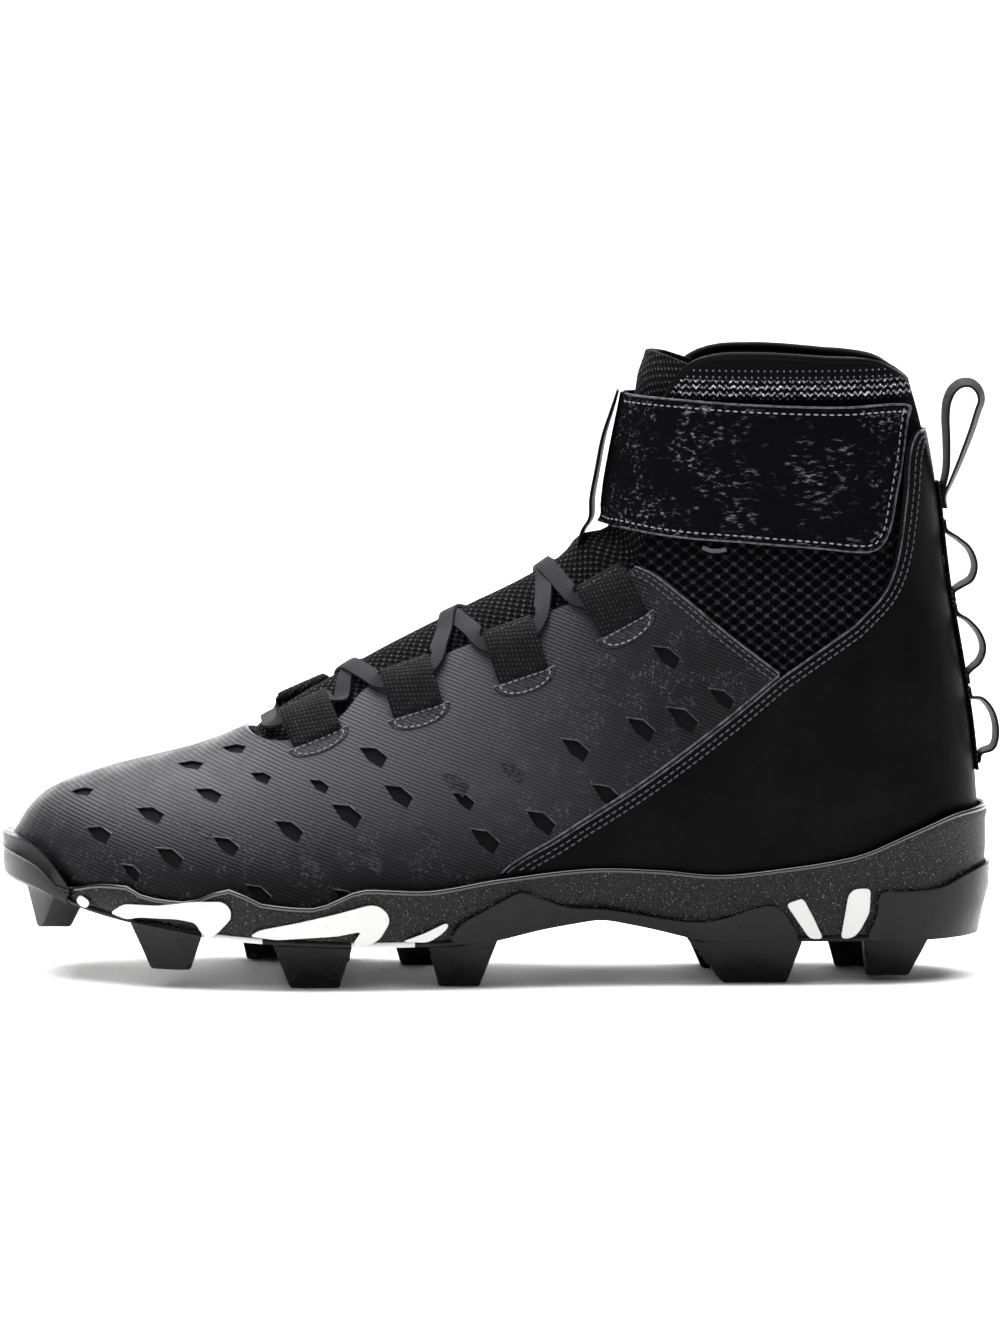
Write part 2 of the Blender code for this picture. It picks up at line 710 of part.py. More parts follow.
def build_upper():
    """Knitted boot, the two panels over it, tongue and strap."""
    edge = upper_outline(THROAT_EDGE)
    roof = [(along(0.99), upper_height(1.15)), (along(0.18), upper_height(1.15))]
    throat = full_prism("throat_cutter", edge + roof)

    upper = shell("upper", 0.0, UPPER_WALL, "knit")
    boolean(upper, throat, "DIFFERENCE")

    seam = upper_outline(QUARTER_SEAM)
    top = upper_outline(QUARTER_TOP)
    vamp_edge = edge[:EYESTAY_POINTS]
    half_gap = FIT
    front = [(along(-0.08), upper_height(0.45)), (along(-0.08), upper_height(-0.08))]
    vamp_shape = (shifted(seam, -half_gap, 0.0) + upper_outline(VAMP_REAR)
                  + [(x - FIT, z - FIT) for x, z in reversed(vamp_edge)] + front)
    vamp = shell("vamp", FIT + PANEL_WALL, PANEL_WALL, "vamp_synthetic")
    boolean(vamp, full_prism("vamp_outline", vamp_shape), "INTERSECT")

    back = [(along(1.06), upper_height(0.80)), (along(1.06), upper_height(-0.08))]
    quarter_shape = shifted(seam, half_gap, 0.0) + top + back
    quarter = shell("heel_quarter", FIT + PANEL_WALL, PANEL_WALL, "quarter_synthetic")
    boolean(quarter, full_prism("quarter_outline", quarter_shape), "INTERSECT")

    tongue = shell("tongue", -UPPER_WALL - FIT, TONGUE_WALL, "knit")
    tongue_shape = (upper_outline(TONGUE_EDGE) + upper_outline(TONGUE_TOP)
                    + [(along(0.20), upper_height(0.50)), (along(0.20), upper_height(0.24))])
    boolean(tongue, full_prism("tongue_outline", tongue_shape), "INTERSECT")

    strap = shell("ankle_strap", FIT + STRAP_WALL, STRAP_WALL, "webbing")
    boolean(strap, full_prism("strap_outline", upper_outline(STRAP_EDGE)), "INTERSECT")


def perimeter():
    """Stations round the last's underside: place along, X, Y and outward direction."""
    ends = 7
    middle = 10
    toe = [TOE_ROUND * (1 - math.cos(i * math.pi / 2 / ends)) for i in range(ends)]
    straight = [TOE_ROUND + (HEEL_ROUND - TOE_ROUND) * i / middle for i in range(middle + 1)]
    heel = [HEEL_ROUND + (1 - HEEL_ROUND) * math.sin(i * math.pi / 2 / ends) for i in range(1, ends + 1)]
    shares = toe + straight + heel
    lateral = []
    medial = []
    for share in shares:
        half, side = half_and_middle(share)
        lateral.append((share, along(share), side - half))
        medial.append((share, along(share), side + half))
    loop = lateral[::-1] + medial[1:-1]
    count = len(loop)
    stations = []
    for i, (share, x, y) in enumerate(loop):
        before = loop[i - 1]
        after = loop[(i + 1) % count]
        run_x = after[1] - before[1]
        run_y = after[2] - before[2]
        length = math.hypot(run_x, run_y)
        stations.append((share, x, y, -run_y / length, run_x / length))
    return stations


STATIONS = perimeter()


def perimeter_solid(name, profile, finish=None):
    """A solid swept round the sole: profile gives pairs of outward reach and height."""
    bm = bmesh.new()
    rings = []
    for share, x, y, out_x, out_y in STATIONS:
        ring = []
        for reach, z in profile(share, abs(out_y)):
            ring.append(bm.verts.new((x + reach * out_x, y + reach * out_y, z)))
        rings.append(ring)
    count = len(rings)
    levels = len(rings[0])
    for i in range(count):
        here = rings[i]
        after = rings[(i + 1) % count]
        for k in range(levels - 1):
            bm.faces.new((here[k], after[k], after[k + 1], here[k + 1]))
    half = count // 2
    for k in (0, levels - 1):
        for i in range(half):
            corners = [rings[i][k], rings[i + 1][k], rings[(count - i - 1) % count][k], rings[-i][k]]
            bm.faces.new(list(dict.fromkeys(corners)))
    face_outwards(bm)
    return add_mesh(name, bm, finish)


def wall_reach(share, z, sideways):
    """How far the sole's side stands out of the last at a height."""
    return WELT + WALL_LEAN * max(0.0, z - foot_bed(share)) * sideways


def side_profile(share, sideways, bottom, top, out):
    """The midsole's side from its lower edge to its lip, moved out by out."""
    height = top - bottom
    points = [(WELT - EDGE_CHAMFER + out, bottom)]
    for level, bulge in ((0.16, 0.1), (0.55, 0.5), (0.84, 0.3), (0.92, 0.8), (1.0, 0.5)):
        z = bottom + level * height
        points.append((wall_reach(share, z, sideways) + bulge * MM + out, z))
    return points


def core_profile(bottom_gap, out, top_gap=0.0):
    def profile(share, sideways):
        bottom = underside(share) + bottom_gap
        return side_profile(share, sideways, bottom, rim(share) + top_gap, out)
    return profile


def envelope_profile(out):
    """The outside of lugs and pods: leaning in below the plate."""
    def profile(share, sideways):
        bottom = underside(share)
        upper = side_profile(share, sideways, bottom, rim(share), out)
        lean = LUG_LEAN * (0.55 + 0.45 * sideways)
        return [(upper[0][0] - lean, -2 * MM)] + upper + [(upper[-1][0], rim(share) + 14 * MM)]
    return profile


def plate_profile(share, sideways):
    bottom = underside(share)
    edge = WELT - EDGE_CHAMFER
    return [(edge - 0.4 * MM, bottom), (edge, bottom + PLATE_WALL / 2), (edge - 0.2 * MM, bottom + PLATE_WALL)]


def insole_profile(share, sideways):
    bed = foot_bed(share)
    inset = -(UPPER_WALL + 4 * FIT)
    return [(inset - 0.4 * MM, bed), (inset, bed + 0.3 * INSOLE_WALL), (inset - 0.6 * MM, bed + INSOLE_WALL)]


def bed_profile(share, sideways):
    """The room just over the foot bed, inside the upper's wall."""
    bed = foot_bed(share)
    inset = -(UPPER_WALL + FIT)
    return [(inset, bed - FIT), (inset, bed + INSOLE_WALL)]


def lug_block(name, row):
    """One lug's four-sided taper, its root running up inside the sole."""
    size = dict(zip(LUG_COLUMNS, row))
    side = 1.0 if name.endswith("medial") else -1.0
    tip = size["lift"] * LUG_HEIGHT
    bm = bmesh.new()
    bmesh.ops.create_cube(bm, size=2.0)
    for vert in bm.verts:
        rear = vert.co.x > 0
        outer = vert.co.y > 0
        low = vert.co.z < 0
        root_share = size["root_rear"] if rear else size["root_front"]
        root_x = along(root_share)
        root = underside(root_share) + LUG_ROOT
        tall = (root - tip) / (root - LUG_ROOT - tip)
        tip_x = along(size["tip_rear"] if rear else size["tip_front"])
        root_y = (size["tip_out"] + 0.10 if outer else size["root_in"]) * BALL_WIDTH
        tip_y = (size["tip_out"] if outer else size["tip_in"]) * BALL_WIDTH
        vert.co.x = tip_x if low else tip_x + (root_x - tip_x) * tall
        vert.co.y = side * (tip_y if low else tip_y + (root_y - tip_y) * tall)
        vert.co.z = tip if low else root
    face_outwards(bm)
    return bm


def moulded(made, unions, envelope, cores):
    """Joins the blocks of a moulded piece and fits it round the sole."""
    for block in unions:
        boolean(made, block, "UNION")
    boolean(made, envelope, "INTERSECT")
    for core in cores:
        boolean(made, core, "DIFFERENCE")


def build_sole():
    room = filled_last("last_room", PANEL_WALL + 2 * FIT, FIT)
    core = perimeter_solid("sole_core", core_profile(-FIT, FIT, FIT))
    pods = perimeter_solid("pod_envelope", envelope_profile(POD_PROUD + FIT))
    faces = perimeter_solid("insert_envelope", envelope_profile(INSERT_PROUD + FIT))

    bed = perimeter_solid("bed_room", bed_profile)
    midsole = perimeter_solid("midsole", core_profile(PLATE_WALL + FIT, 0.0), "stippled_rubber")
    boolean(midsole, room, "DIFFERENCE")
    boolean(midsole, bed, "DIFFERENCE")
    perimeter_solid("plate", plate_profile, "white_plastic")
    perimeter_solid("insole", insole_profile, "foam")

    def cutter_lug(name):
        return add_mesh("block_" + name, lug_block(name, LUGS[name]))

    bumper = prism("toe_bumper", sole_outline(TOE_BUMPER), -FAR, FAR, "smooth_plastic")
    moulded(bumper, [cutter_lug("toe_lateral"), cutter_lug("toe_medial")], pods, [core, room])

    heel = prism("heel_pod", sole_outline(HEEL_POD), -FAR, FAR, "smooth_plastic")
    moulded(heel, [cutter_lug("heel_rear_lateral"), cutter_lug("heel_rear_medial")], pods, [core, room])

    sides = {"lateral": (-FAR, -0.5 * MM), "medial": (0.5 * MM, FAR)}
    for side, (near, far) in sides.items():
        arch = prism("arch_pod_" + side, sole_outline(ARCH_POD), near, far, "smooth_plastic")
        blocks = [cutter_lug("ball_" + side), cutter_lug("heel_front_" + side)]
        moulded(arch, blocks, pods, [core, room])
        for place in ("forefoot_front_", "forefoot_rear_"):
            lug = add_mesh("lug_" + place + side, lug_block(place + side, LUGS[place + side]),
                           "smooth_plastic")
            moulded(lug, [], pods, [core])
        for place, outline in INSERTS.items():
            insert = prism("insert_" + place + "_" + side, sole_outline(outline), near, far,
                           "white_plastic")
            moulded(insert, [], faces, [core])


def unit(vector):
    return vector / np.linalg.norm(vector)


def band(name, centres, acrosses, normals, width, thickness, finish=None):
    """A flat band swept along its middle line."""
    bm = bmesh.new()
    rings = []
    for centre, sideways, normal in zip(centres, acrosses, normals):
        side = unit(sideways) * width / 2
        rise = unit(normal) * thickness / 2
        corners = (centre - side - rise, centre + side - rise, centre + side + rise, centre - side + rise)
        rings.append([bm.verts.new(corner) for corner in corners])
    for here, after in zip(rings, rings[1:]):
        for k in range(4):
            bm.faces.new((here[k], here[(k + 1) % 4], after[(k + 1) % 4], after[k]))
    bm.faces.new(rings[0])
    bm.faces.new(rings[-1])
    face_outwards(bm)
    return add_mesh(name, bm, finish)


def loop_frame(place, across):
    """Origin, uphill, forward and outward directions where a lace loop sits."""
    origin = last_point(place, across, PANEL_WALL + FIT)
    step = 0.02
    toward_crest = step if across < 0.5 else -step
    uphill = unit(last_point(place, across + toward_crest) - last_point(place, across - toward_crest))
    rearward = unit(last_point(place + 0.05, across) - last_point(place - 0.05, across))
    outward = unit(np.cross(uphill, rearward))
    if outward[2] < 0:
        outward = -outward
    rearward = unit(np.cross(outward, uphill))
    if rearward[0] < 0:
        rearward = -rearward
    return origin, uphill, rearward, outward


LOOP_LIFT = 3.0 * FIT
EYE_START = LOOP_REACH - 0.4 * LOOP_EYE - LACE_WIDTH - 3 * FIT


def loop_profile():
    """Outer and inner line of a lace loop: uphill and outward from its slot."""
    low = LOOP_LIFT
    high = low + 2 * LOOP_BAND + LOOP_EYE
    reach = LOOP_REACH
    outer = [(-LOOP_TAIL, low), (reach - 0.2 * LOOP_EYE, low), (reach + 0.3 * LOOP_EYE, low + 0.3 * (high - low)),
             (reach + 0.3 * LOOP_EYE, low + 0.7 * (high - low)), (reach - 0.3 * LOOP_EYE, high),
             (0.3 * reach, high), (-LOOP_TAIL, low + 1.2 * LOOP_BAND)]
    inner = [(EYE_START, low + LOOP_BAND), (reach - 0.4 * LOOP_EYE, low + LOOP_BAND),
             (reach - 0.2 * LOOP_EYE, (low + high) / 2), (reach - 0.4 * LOOP_EYE, high - LOOP_BAND),
             (EYE_START, high - LOOP_BAND)]
    return outer, inner


def swept_outline(name, outline, origin, right, up, sideways, width, finish=None):
    """A flat outline in the plane of right and up, given its width along sideways."""
    bm = bmesh.new()
    start = origin - sideways * width / 2
    corners = [bm.verts.new(start + right * a + up * b) for a, b in outline]
    face = bm.faces.new(corners)
    grown = bmesh.ops.extrude_face_region(bm, geom=[face])
    moved = [item for item in grown["geom"] if isinstance(item, bmesh.types.BMVert)]
    bmesh.ops.translate(bm, verts=moved, vec=sideways * width)
    face_outwards(bm)
    return add_mesh(name, bm, finish)


def build_lace_loops():
    outer, inner = loop_profile()
    for number, (place, across) in enumerate(LACE_LOOPS, start=1):
        for side, spot in (("lateral", across), ("medial", 1 - across)):
            origin, uphill, rearward, outward = loop_frame(place, spot)
            name = "lace_loop_" + side + "_" + str(number)
            loop = swept_outline(name, outer, origin, uphill, outward, rearward, LOOP_WIDTH, "webbing")
            eye = swept_outline(name + "_eye", inner, origin, uphill, outward, rearward, LOOP_WIDTH + 4 * MM)
            boolean(loop, eye, "DIFFERENCE")


def throat_height(x):
    """Height of the throat's edge at an X."""
    edge = upper_outline(THROAT_EDGE)
    return float(np.interp(x, [point[0] for point in edge], [point[1] for point in edge]))


def eye_point(number, side, shift):
    """A point on the middle of a lace where it runs through a loop, with its flat side and normal."""
    place, across = LACE_LOOPS[number]
    spot = across if side < 0 else 1 - across
    origin, uphill, rearward, outward = loop_frame(place, spot)
    middle = LOOP_LIFT + LOOP_BAND + LOOP_EYE / 2
    centre = (origin + uphill * (EYE_START + 1.5 * FIT + LACE_WIDTH / 2)
              + outward * middle + rearward * shift)
    return centre, np.cross(outward, rearward), outward


def lace_strand(name, first_side, lift, finish=None):
    """One half of the lace, crossing from loop to loop up to the top pair."""
    centres = []
    normals = []
    flats = []

    def add(centre, normal, flat=None):
        centres.append(np.array(centre))
        normals.append(unit(np.array(normal)))
        flats.append(flat)

    def over_tongue(place, across):
        """Over the panels beside the throat, sinking to the tongue inside it."""
        surface = last_point(place, across)
        outward = last_point(place, across, 1.0) - last_point(place, across, 0.0)
        inside = surface[2] - throat_height(surface[0]) - LACE_CLEAR
        sunk = min(1.0, max(0.0, inside / LACE_SINK))
        high = PANEL_WALL + 3 * FIT + LACE_THICKNESS / 2
        low = -UPPER_WALL + 2 * FIT + LACE_THICKNESS / 2
        add(last_point(place, across, high + (low - high) * sunk + lift), outward)

    half = LOOP_WIDTH / 2 + FIT
    side = first_side
    start_place = LACE_LOOPS[0][0] - 0.42
    for share in (-0.02, 0.35, 0.75):
        over_tongue(start_place, 0.5 + side * share * LACE_EDGE)
    for number in range(len(LACE_LOOPS)):
        for shift in (-half, half):
            centre, flat, outward = eye_point(number, side, shift)
            add(centre, outward, flat)
        if number < len(LACE_LOOPS) - 1:
            place = (LACE_LOOPS[number][0] + LACE_LOOPS[number + 1][0]) / 2
            for share in (0.1, 0.3, 0.5, 0.7, 0.9):
                across = 0.5 + side * (0.5 - share) * 2.2 * LACE_EDGE
                over_tongue(place + (share - 0.5) * 0.55, across)
        side = -side
    acrosses = []
    for i, centre in enumerate(centres):
        after = centres[min(i + 1, len(centres) - 1)]
        before = centres[max(i - 1, 0)]
        acrosses.append(np.cross(normals[i], after - before) if flats[i] is None else flats[i])
    return band(name, centres, acrosses, normals, LACE_WIDTH, LACE_THICKNESS, finish)


def build_laces():
    laces = lace_strand("laces", -1, 0.0, "lace")
    boolean(laces, lace_strand("laces_second", 1, 0.15 * MM), "UNION")


def back_line(rise):
    """X of the heel's back line, over the heel panel, at a height on the upper."""
    places = np.linspace(CLOSING, TOP, 120)
    heights = np.array([section_curve(p)[1][0][2] for p in places])
    depths = np.array([section_curve(p)[1][0][0] for p in places])
    return float(np.interp(upper_height(rise), heights, depths)) + FIT + PANEL_WALL


def ribbon(name, path, thickness, width, finish):
    """A ribbon seen on edge: a line of X and Z pairs, thickened, with its width along Y."""
    points = [np.array(point) for point in path]
    left = []
    right = []
    for i, point in enumerate(points):
        run = unit(points[min(i + 1, len(points) - 1)] - points[max(i - 1, 0)])
        side = np.array((-run[1], run[0])) * thickness / 2
        left.append(tuple(point + side))
        right.append(tuple(point - side))
    return prism(name, left + right[::-1], -width / 2, width / 2, finish)


def build_heel_ribbons():
    stand = FIT + 0.4 * MM + SPINE_THICKNESS / 2
    spine = [(back_line(r) + stand, upper_height(r)) for r in (0.26, 0.34, 0.42, 0.50, 0.58, 0.66, 0.74, 0.77)]
    ribbon("heel_webbing", spine, SPINE_THICKNESS, SPINE_WIDTH, "webbing")
    seat = stand + SPINE_THICKNESS / 2 + FIT - 1.2 * MM + HEEL_LOOP_BAND / 2

    def placed(path):
        return [(back_line(r) + seat + reach * MM, upper_height(r)) for reach, r in path]

    ribbon("pull_loop", placed(PULL_LOOP), HEEL_LOOP_BAND, HEEL_LOOP_WIDTH, "webbing")
    for number, path in enumerate(HEEL_LOOPS, start=1):
        ribbon("heel_loop_" + str(number), placed(path), HEEL_LOOP_BAND, HEEL_LOOP_WIDTH, "webbing")


def build_keeper():
    path = []
    for rise, gap in ((0.930, 0.9), (0.900, 1.3), (0.850, 2.2), (0.790, 2.2), (0.740, 2.4), (0.705, 4.0), (0.685, 6.5)):
        places = np.linspace(CLOSING - 5, TOP, 120)
        heights = np.array([on_section(p, np.array([0.5]))[0][2] for p in places])
        depths = np.array([on_section(p, np.array([0.5]))[0][0] for p in places])
        front = float(np.interp(upper_height(rise), heights, depths))
        stand = FIT + STRAP_WALL + gap * MM
        path.append((front - stand, upper_height(rise)))
    ribbon("strap_keeper", path, KEEPER_THICKNESS, KEEPER_WIDTH, "webbing")


clear_scene()
PARTS = new_collection("american_football_cleat")
CUTTERS = new_collection("cutters")
build_upper()
build_sole()
build_lace_loops()
build_laces()
build_heel_ribbons()
build_keeper()
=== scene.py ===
"""American football cleat, high-top, left shoe: looks, light and camera.

Metres, +Z up, toe towards -X, outer (lateral) side towards -Y.
"""

import math

import bmesh
import bpy
import numpy as np
from mathutils.bvhtree import BVHTree
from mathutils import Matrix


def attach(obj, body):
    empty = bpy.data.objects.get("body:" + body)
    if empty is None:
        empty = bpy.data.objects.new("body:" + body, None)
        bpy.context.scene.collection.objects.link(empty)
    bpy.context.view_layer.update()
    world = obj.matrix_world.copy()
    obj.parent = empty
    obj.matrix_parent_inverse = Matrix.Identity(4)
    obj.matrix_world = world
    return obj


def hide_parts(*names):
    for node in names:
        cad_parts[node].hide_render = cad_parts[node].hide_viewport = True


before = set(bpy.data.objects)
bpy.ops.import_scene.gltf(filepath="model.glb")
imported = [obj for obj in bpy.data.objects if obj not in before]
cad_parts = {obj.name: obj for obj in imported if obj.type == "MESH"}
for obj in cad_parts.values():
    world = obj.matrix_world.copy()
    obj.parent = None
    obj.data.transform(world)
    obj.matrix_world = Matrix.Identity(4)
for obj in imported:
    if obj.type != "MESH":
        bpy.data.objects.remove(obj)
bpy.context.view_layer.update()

MM = 0.001

# Driving sizes of the last and the upper
LAST_LENGTH = 286.5 * MM
BALL_WIDTH = 95.5 * MM
UPPER_HEIGHT = 170.0 * MM
UPPER_WALL = 2.0 * MM
PANEL_WALL = 1.0 * MM
TONGUE_WALL = 3.5 * MM
STRAP_WALL = 1.7 * MM
FIT = 0.3 * MM

# Driving sizes of the sole
LUG_HEIGHT = 13.0 * MM
SOLE_RISE = 39.0 * MM
PLATE_WALL = 1.6 * MM
INSOLE_WALL = 3.0 * MM
WELT = 3.2 * MM
WALL_LEAN = 0.14
EDGE_CHAMFER = 1.2 * MM
POD_PROUD = 1.2 * MM
INSERT_PROUD = 0.7 * MM
LUG_LEAN = 9.0 * MM
LUG_ROOT = 0.7 * MM

# Driving sizes of webbing, laces and loops
LOOP_WIDTH = 15.5 * MM
LOOP_TAIL = 9.0 * MM
LOOP_REACH = 11.0 * MM
LOOP_BAND = 0.9 * MM
LOOP_EYE = 2.0 * MM
LACE_WIDTH = 5.5 * MM
LACE_THICKNESS = 1.2 * MM
LACE_EDGE = 0.085
LACE_CLEAR = 2.0 * MM
LACE_SINK = 3.5 * MM
SPINE_WIDTH = 9.0 * MM
SPINE_THICKNESS = 0.9 * MM
HEEL_LOOP_WIDTH = 7.0 * MM
HEEL_LOOP_BAND = 0.9 * MM
HEEL_LOOP_STANDOFF = 7.0 * MM
KEEPER_WIDTH = 14.0 * MM
KEEPER_THICKNESS = 0.9 * MM

# The toe bumper and the lowest heel loop reach past the last, and the whole is centred on X
TOE_REACH = WELT + POD_PROUD
TOE_X = TOE_REACH - (TOE_REACH + LAST_LENGTH + HEEL_LOOP_STANDOFF) / 2

# Mesh density of the lofts
TOE_TO_HEEL_STEPS = 72
HEEL_TO_TOP_STEPS = 34
ACROSS_STEPS = 72

# Lines of the sole, seen from the side
# along the last, underside, foot bed: heights as shares of SOLE_RISE over the lug height
SOLE_LINES = (
    (0.000, 0.410, 0.515),
    (0.040, 0.330, 0.430),
    (0.075, 0.240, 0.350),
    (0.120, 0.165, 0.280),
    (0.170, 0.100, 0.210),
    (0.225, 0.050, 0.155),
    (0.300, 0.015, 0.120),
    (0.370, 0.000, 0.115),
    (0.430, 0.000, 0.118),
    (0.500, 0.040, 0.180),
    (0.550, 0.130, 0.255),
    (0.610, 0.200, 0.320),
    (0.660, 0.125, 0.345),
    (0.720, 0.010, 0.370),
    (0.800, 0.005, 0.385),
    (0.870, 0.005, 0.390),
    (0.930, 0.015, 0.395),
    (0.970, 0.090, 0.400),
    (1.000, 0.230, 0.405),
)

# Top edge of the midsole's wall: along, height
RIM_LINE = (
    (0.000, 0.680),
    (0.035, 0.580),
    (0.062, 0.400),
    (0.100, 0.450),
    (0.122, 0.450),
    (0.145, 0.370),
    (0.185, 0.345),
    (0.228, 0.450),
    (0.262, 0.340),
    (0.310, 0.310),
    (0.365, 0.450),
    (0.420, 0.430),
    (0.500, 0.510),
    (0.610, 0.580),
    (0.670, 0.560),
    (0.730, 0.520),
    (0.800, 0.570),
    (0.870, 0.660),
    (0.930, 0.850),
    (0.970, 0.970),
    (1.000, 1.000),
)

# Outline of the last's underside between toe and heel rounding:
# along, lateral and medial half width as shares of BALL_WIDTH
TOE_ROUND = 0.26
HEEL_ROUND = 0.83
OUTLINE = (
    (0.26, 0.498, 0.488),
    (0.32, 0.507, 0.472),
    (0.37, 0.495, 0.425),
    (0.44, 0.460, 0.352),
    (0.52, 0.408, 0.296),
    (0.60, 0.368, 0.274),
    (0.68, 0.344, 0.288),
    (0.76, 0.334, 0.312),
    (0.83, 0.330, 0.326),
)
TOE_SIDE = 0.095
TOE_FULLNESS = 2.0
HEEL_FULLNESS = 2.15

# Sections of the upper, fanned from the toe over the instep to the collar.
# base along and rise (None: on the foot bed's edge), crest along, rise and sideways,
# half width, share of the height where it is widest, fullness of the curve
SECTIONS = (
    (0.260, None, 0.000, None, 0.095, 0.493, 0.00, 2.00),
    (0.265, None, -0.003, 0.132, 0.094, 0.498, 0.06, 2.08),
    (0.275, None, 0.018, 0.194, 0.092, 0.503, 0.11, 2.18),
    (0.290, None, 0.060, 0.235, 0.088, 0.506, 0.15, 2.20),
    (0.315, None, 0.127, 0.268, 0.080, 0.506, 0.19, 2.15),
    (0.350, None, 0.203, 0.303, 0.068, 0.494, 0.21, 2.05),
    (0.398, None, 0.287, 0.372, 0.058, 0.463, 0.23, 1.95),
    (0.462, None, 0.371, 0.452, 0.048, 0.422, 0.25, 1.88),
    (0.545, None, 0.455, 0.527, 0.038, 0.384, 0.27, 1.85),
    (0.645, None, 0.525, 0.592, 0.028, 0.364, 0.29, 1.86),
    (0.755, None, 0.575, 0.647, 0.020, 0.361, 0.31, 1.90),
    (0.855, None, 0.612, 0.692, 0.014, 0.366, 0.34, 1.95),
    (0.925, None, 0.616, 0.733, 0.010, 0.370, 0.37, 1.98),
    (0.970, None, 0.619, 0.772, 0.007, 0.371, 0.39, 2.00),
    (0.993, None, 0.623, 0.808, 0.004, 0.369, 0.40, 2.03),
    (1.000, None, 0.627, 0.843, 0.002, 0.364, 0.41, 2.06),
    (1.003, 0.220, 0.631, 0.876, 0.000, 0.357, 0.42, 2.10),
    (0.988, 0.410, 0.635, 0.908, 0.000, 0.350, 0.43, 2.10),
    (0.968, 0.585, 0.639, 0.939, 0.000, 0.344, 0.44, 2.10),
    (0.958, 0.730, 0.643, 0.968, 0.000, 0.339, 0.45, 2.10),
    (0.946, 0.855, 0.647, 0.995, 0.000, 0.335, 0.46, 2.10),
    (0.931, 0.945, 0.651, 1.020, 0.000, 0.332, 0.47, 2.10),
    (0.910, 1.030, 0.655, 1.045, 0.000, 0.330, 0.48, 2.10),
)
CLOSING = sum(1 for row in SECTIONS if row[1] is None) - 1
TOP = len(SECTIONS) - 1

# Outlines of the panels from the side: along, rise as a share of UPPER_HEIGHT
THROAT_EDGE = (
    (0.222, 0.400),
    (0.232, 0.346),
    (0.258, 0.323),
    (0.300, 0.328),
    (0.340, 0.365),
    (0.366, 0.412),
    (0.440, 0.466),
    (0.550, 0.543),
    (0.608, 0.585),
    (0.640, 0.622),
    (0.655, 0.665),
    (0.662, 0.740),
    (0.668, 0.850),
    (0.680, 0.935),
    (0.700, 0.978),
    (0.725, 0.994),
    (0.770, 0.998),
    (0.840, 0.992),
    (0.895, 0.984),
    (0.914, 0.968),
    (0.935, 0.945),
)
EYESTAY_POINTS = 10
QUARTER_SEAM = (
    (0.470, -0.060),
    (0.500, 0.085),
    (0.570, 0.165),
    (0.655, 0.255),
    (0.735, 0.355),
    (0.795, 0.440),
)
QUARTER_TOP = (
    (0.870, 0.530),
    (0.900, 0.585),
    (0.913, 0.640),
    (0.922, 0.745),
    (0.928, 0.840),
    (0.938, 0.862),
    (0.975, 0.845),
)
VAMP_REAR = (
    (0.795, 0.448),
    (0.735, 0.525),
    (0.692, 0.585),
    (0.665, 0.618),
    (0.648, 0.628),
)
TONGUE_EDGE = (
    (0.255, 0.280),
    (0.350, 0.335),
    (0.440, 0.425),
    (0.530, 0.495),
    (0.600, 0.560),
    (0.655, 0.640),
    (0.685, 0.760),
    (0.700, 0.880),
    (0.706, 0.978),
)
TONGUE_TOP = (
    (0.677, 0.996),
    (0.660, 1.001),
    (0.645, 0.998),
    (0.600, 0.960),
)
STRAP_EDGE = (
    (0.560, 0.712),
    (0.604, 0.700),
    (0.680, 0.680),
    (0.760, 0.672),
    (0.840, 0.661),
    (0.870, 0.655),
    (0.886, 0.655),
    (0.897, 0.664),
    (0.906, 0.692),
    (0.912, 0.743),
    (0.919, 0.814),
    (0.924, 0.884),
    (0.926, 0.905),
    (0.850, 0.910),
    (0.760, 0.916),
    (0.680, 0.923),
    (0.560, 0.930),
)

# Outlines on the sole's side: along, height as a share of SOLE_RISE over the lug height
INSERTS = {
    "toe": ((0.0635, 0.300), (0.068, 0.362), (0.080, 0.308), (0.0745, 0.248)),
    "forefoot_front": (
        (0.100, 0.235), (0.115, 0.310), (0.150, 0.310), (0.190, 0.352), (0.219, 0.358), (0.227, 0.300),
        (0.227, 0.225), (0.213, 0.115), (0.205, 0.070), (0.197, 0.100), (0.190, 0.190), (0.170, 0.213),
        (0.130, 0.213), (0.118, 0.190),
    ),
    "forefoot_rear": (
        (0.246, 0.095), (0.257, 0.145), (0.295, 0.200), (0.337, 0.272), (0.370, 0.338), (0.380, 0.328),
        (0.389, 0.270), (0.391, 0.200), (0.381, 0.075), (0.370, 0.025), (0.356, 0.020), (0.353, 0.045),
        (0.362, 0.135), (0.337, 0.100), (0.274, 0.070),
    ),
    "ball": (
        (0.403, 0.050), (0.426, 0.110), (0.449, 0.190), (0.452, 0.165), (0.444, 0.100), (0.430, 0.040),
    ),
    "heel_front": ((0.801, 0.300), (0.819, 0.345), (0.832, 0.160), (0.840, 0.030), (0.826, 0.030)),
    "heel_rear": (
        (0.866, 0.375), (0.873, 0.415), (0.889, 0.415), (0.888, 0.230), (0.877, 0.080), (0.870, 0.035),
        (0.858, 0.030),
    ),
}
ARCH_POD = (
    (0.452, 0.010), (0.460, 0.165), (0.522, 0.405), (0.530, 0.412), (0.552, 0.350), (0.575, 0.278),
    (0.612, 0.272), (0.652, 0.222), (0.675, 0.187), (0.704, 0.160), (0.725, 0.165), (0.746, 0.205),
    (0.767, 0.268), (0.794, 0.300), (0.819, 0.010), (0.720, 0.005), (0.660, 0.115), (0.610, 0.190),
    (0.550, 0.120), (0.500, 0.035),
)
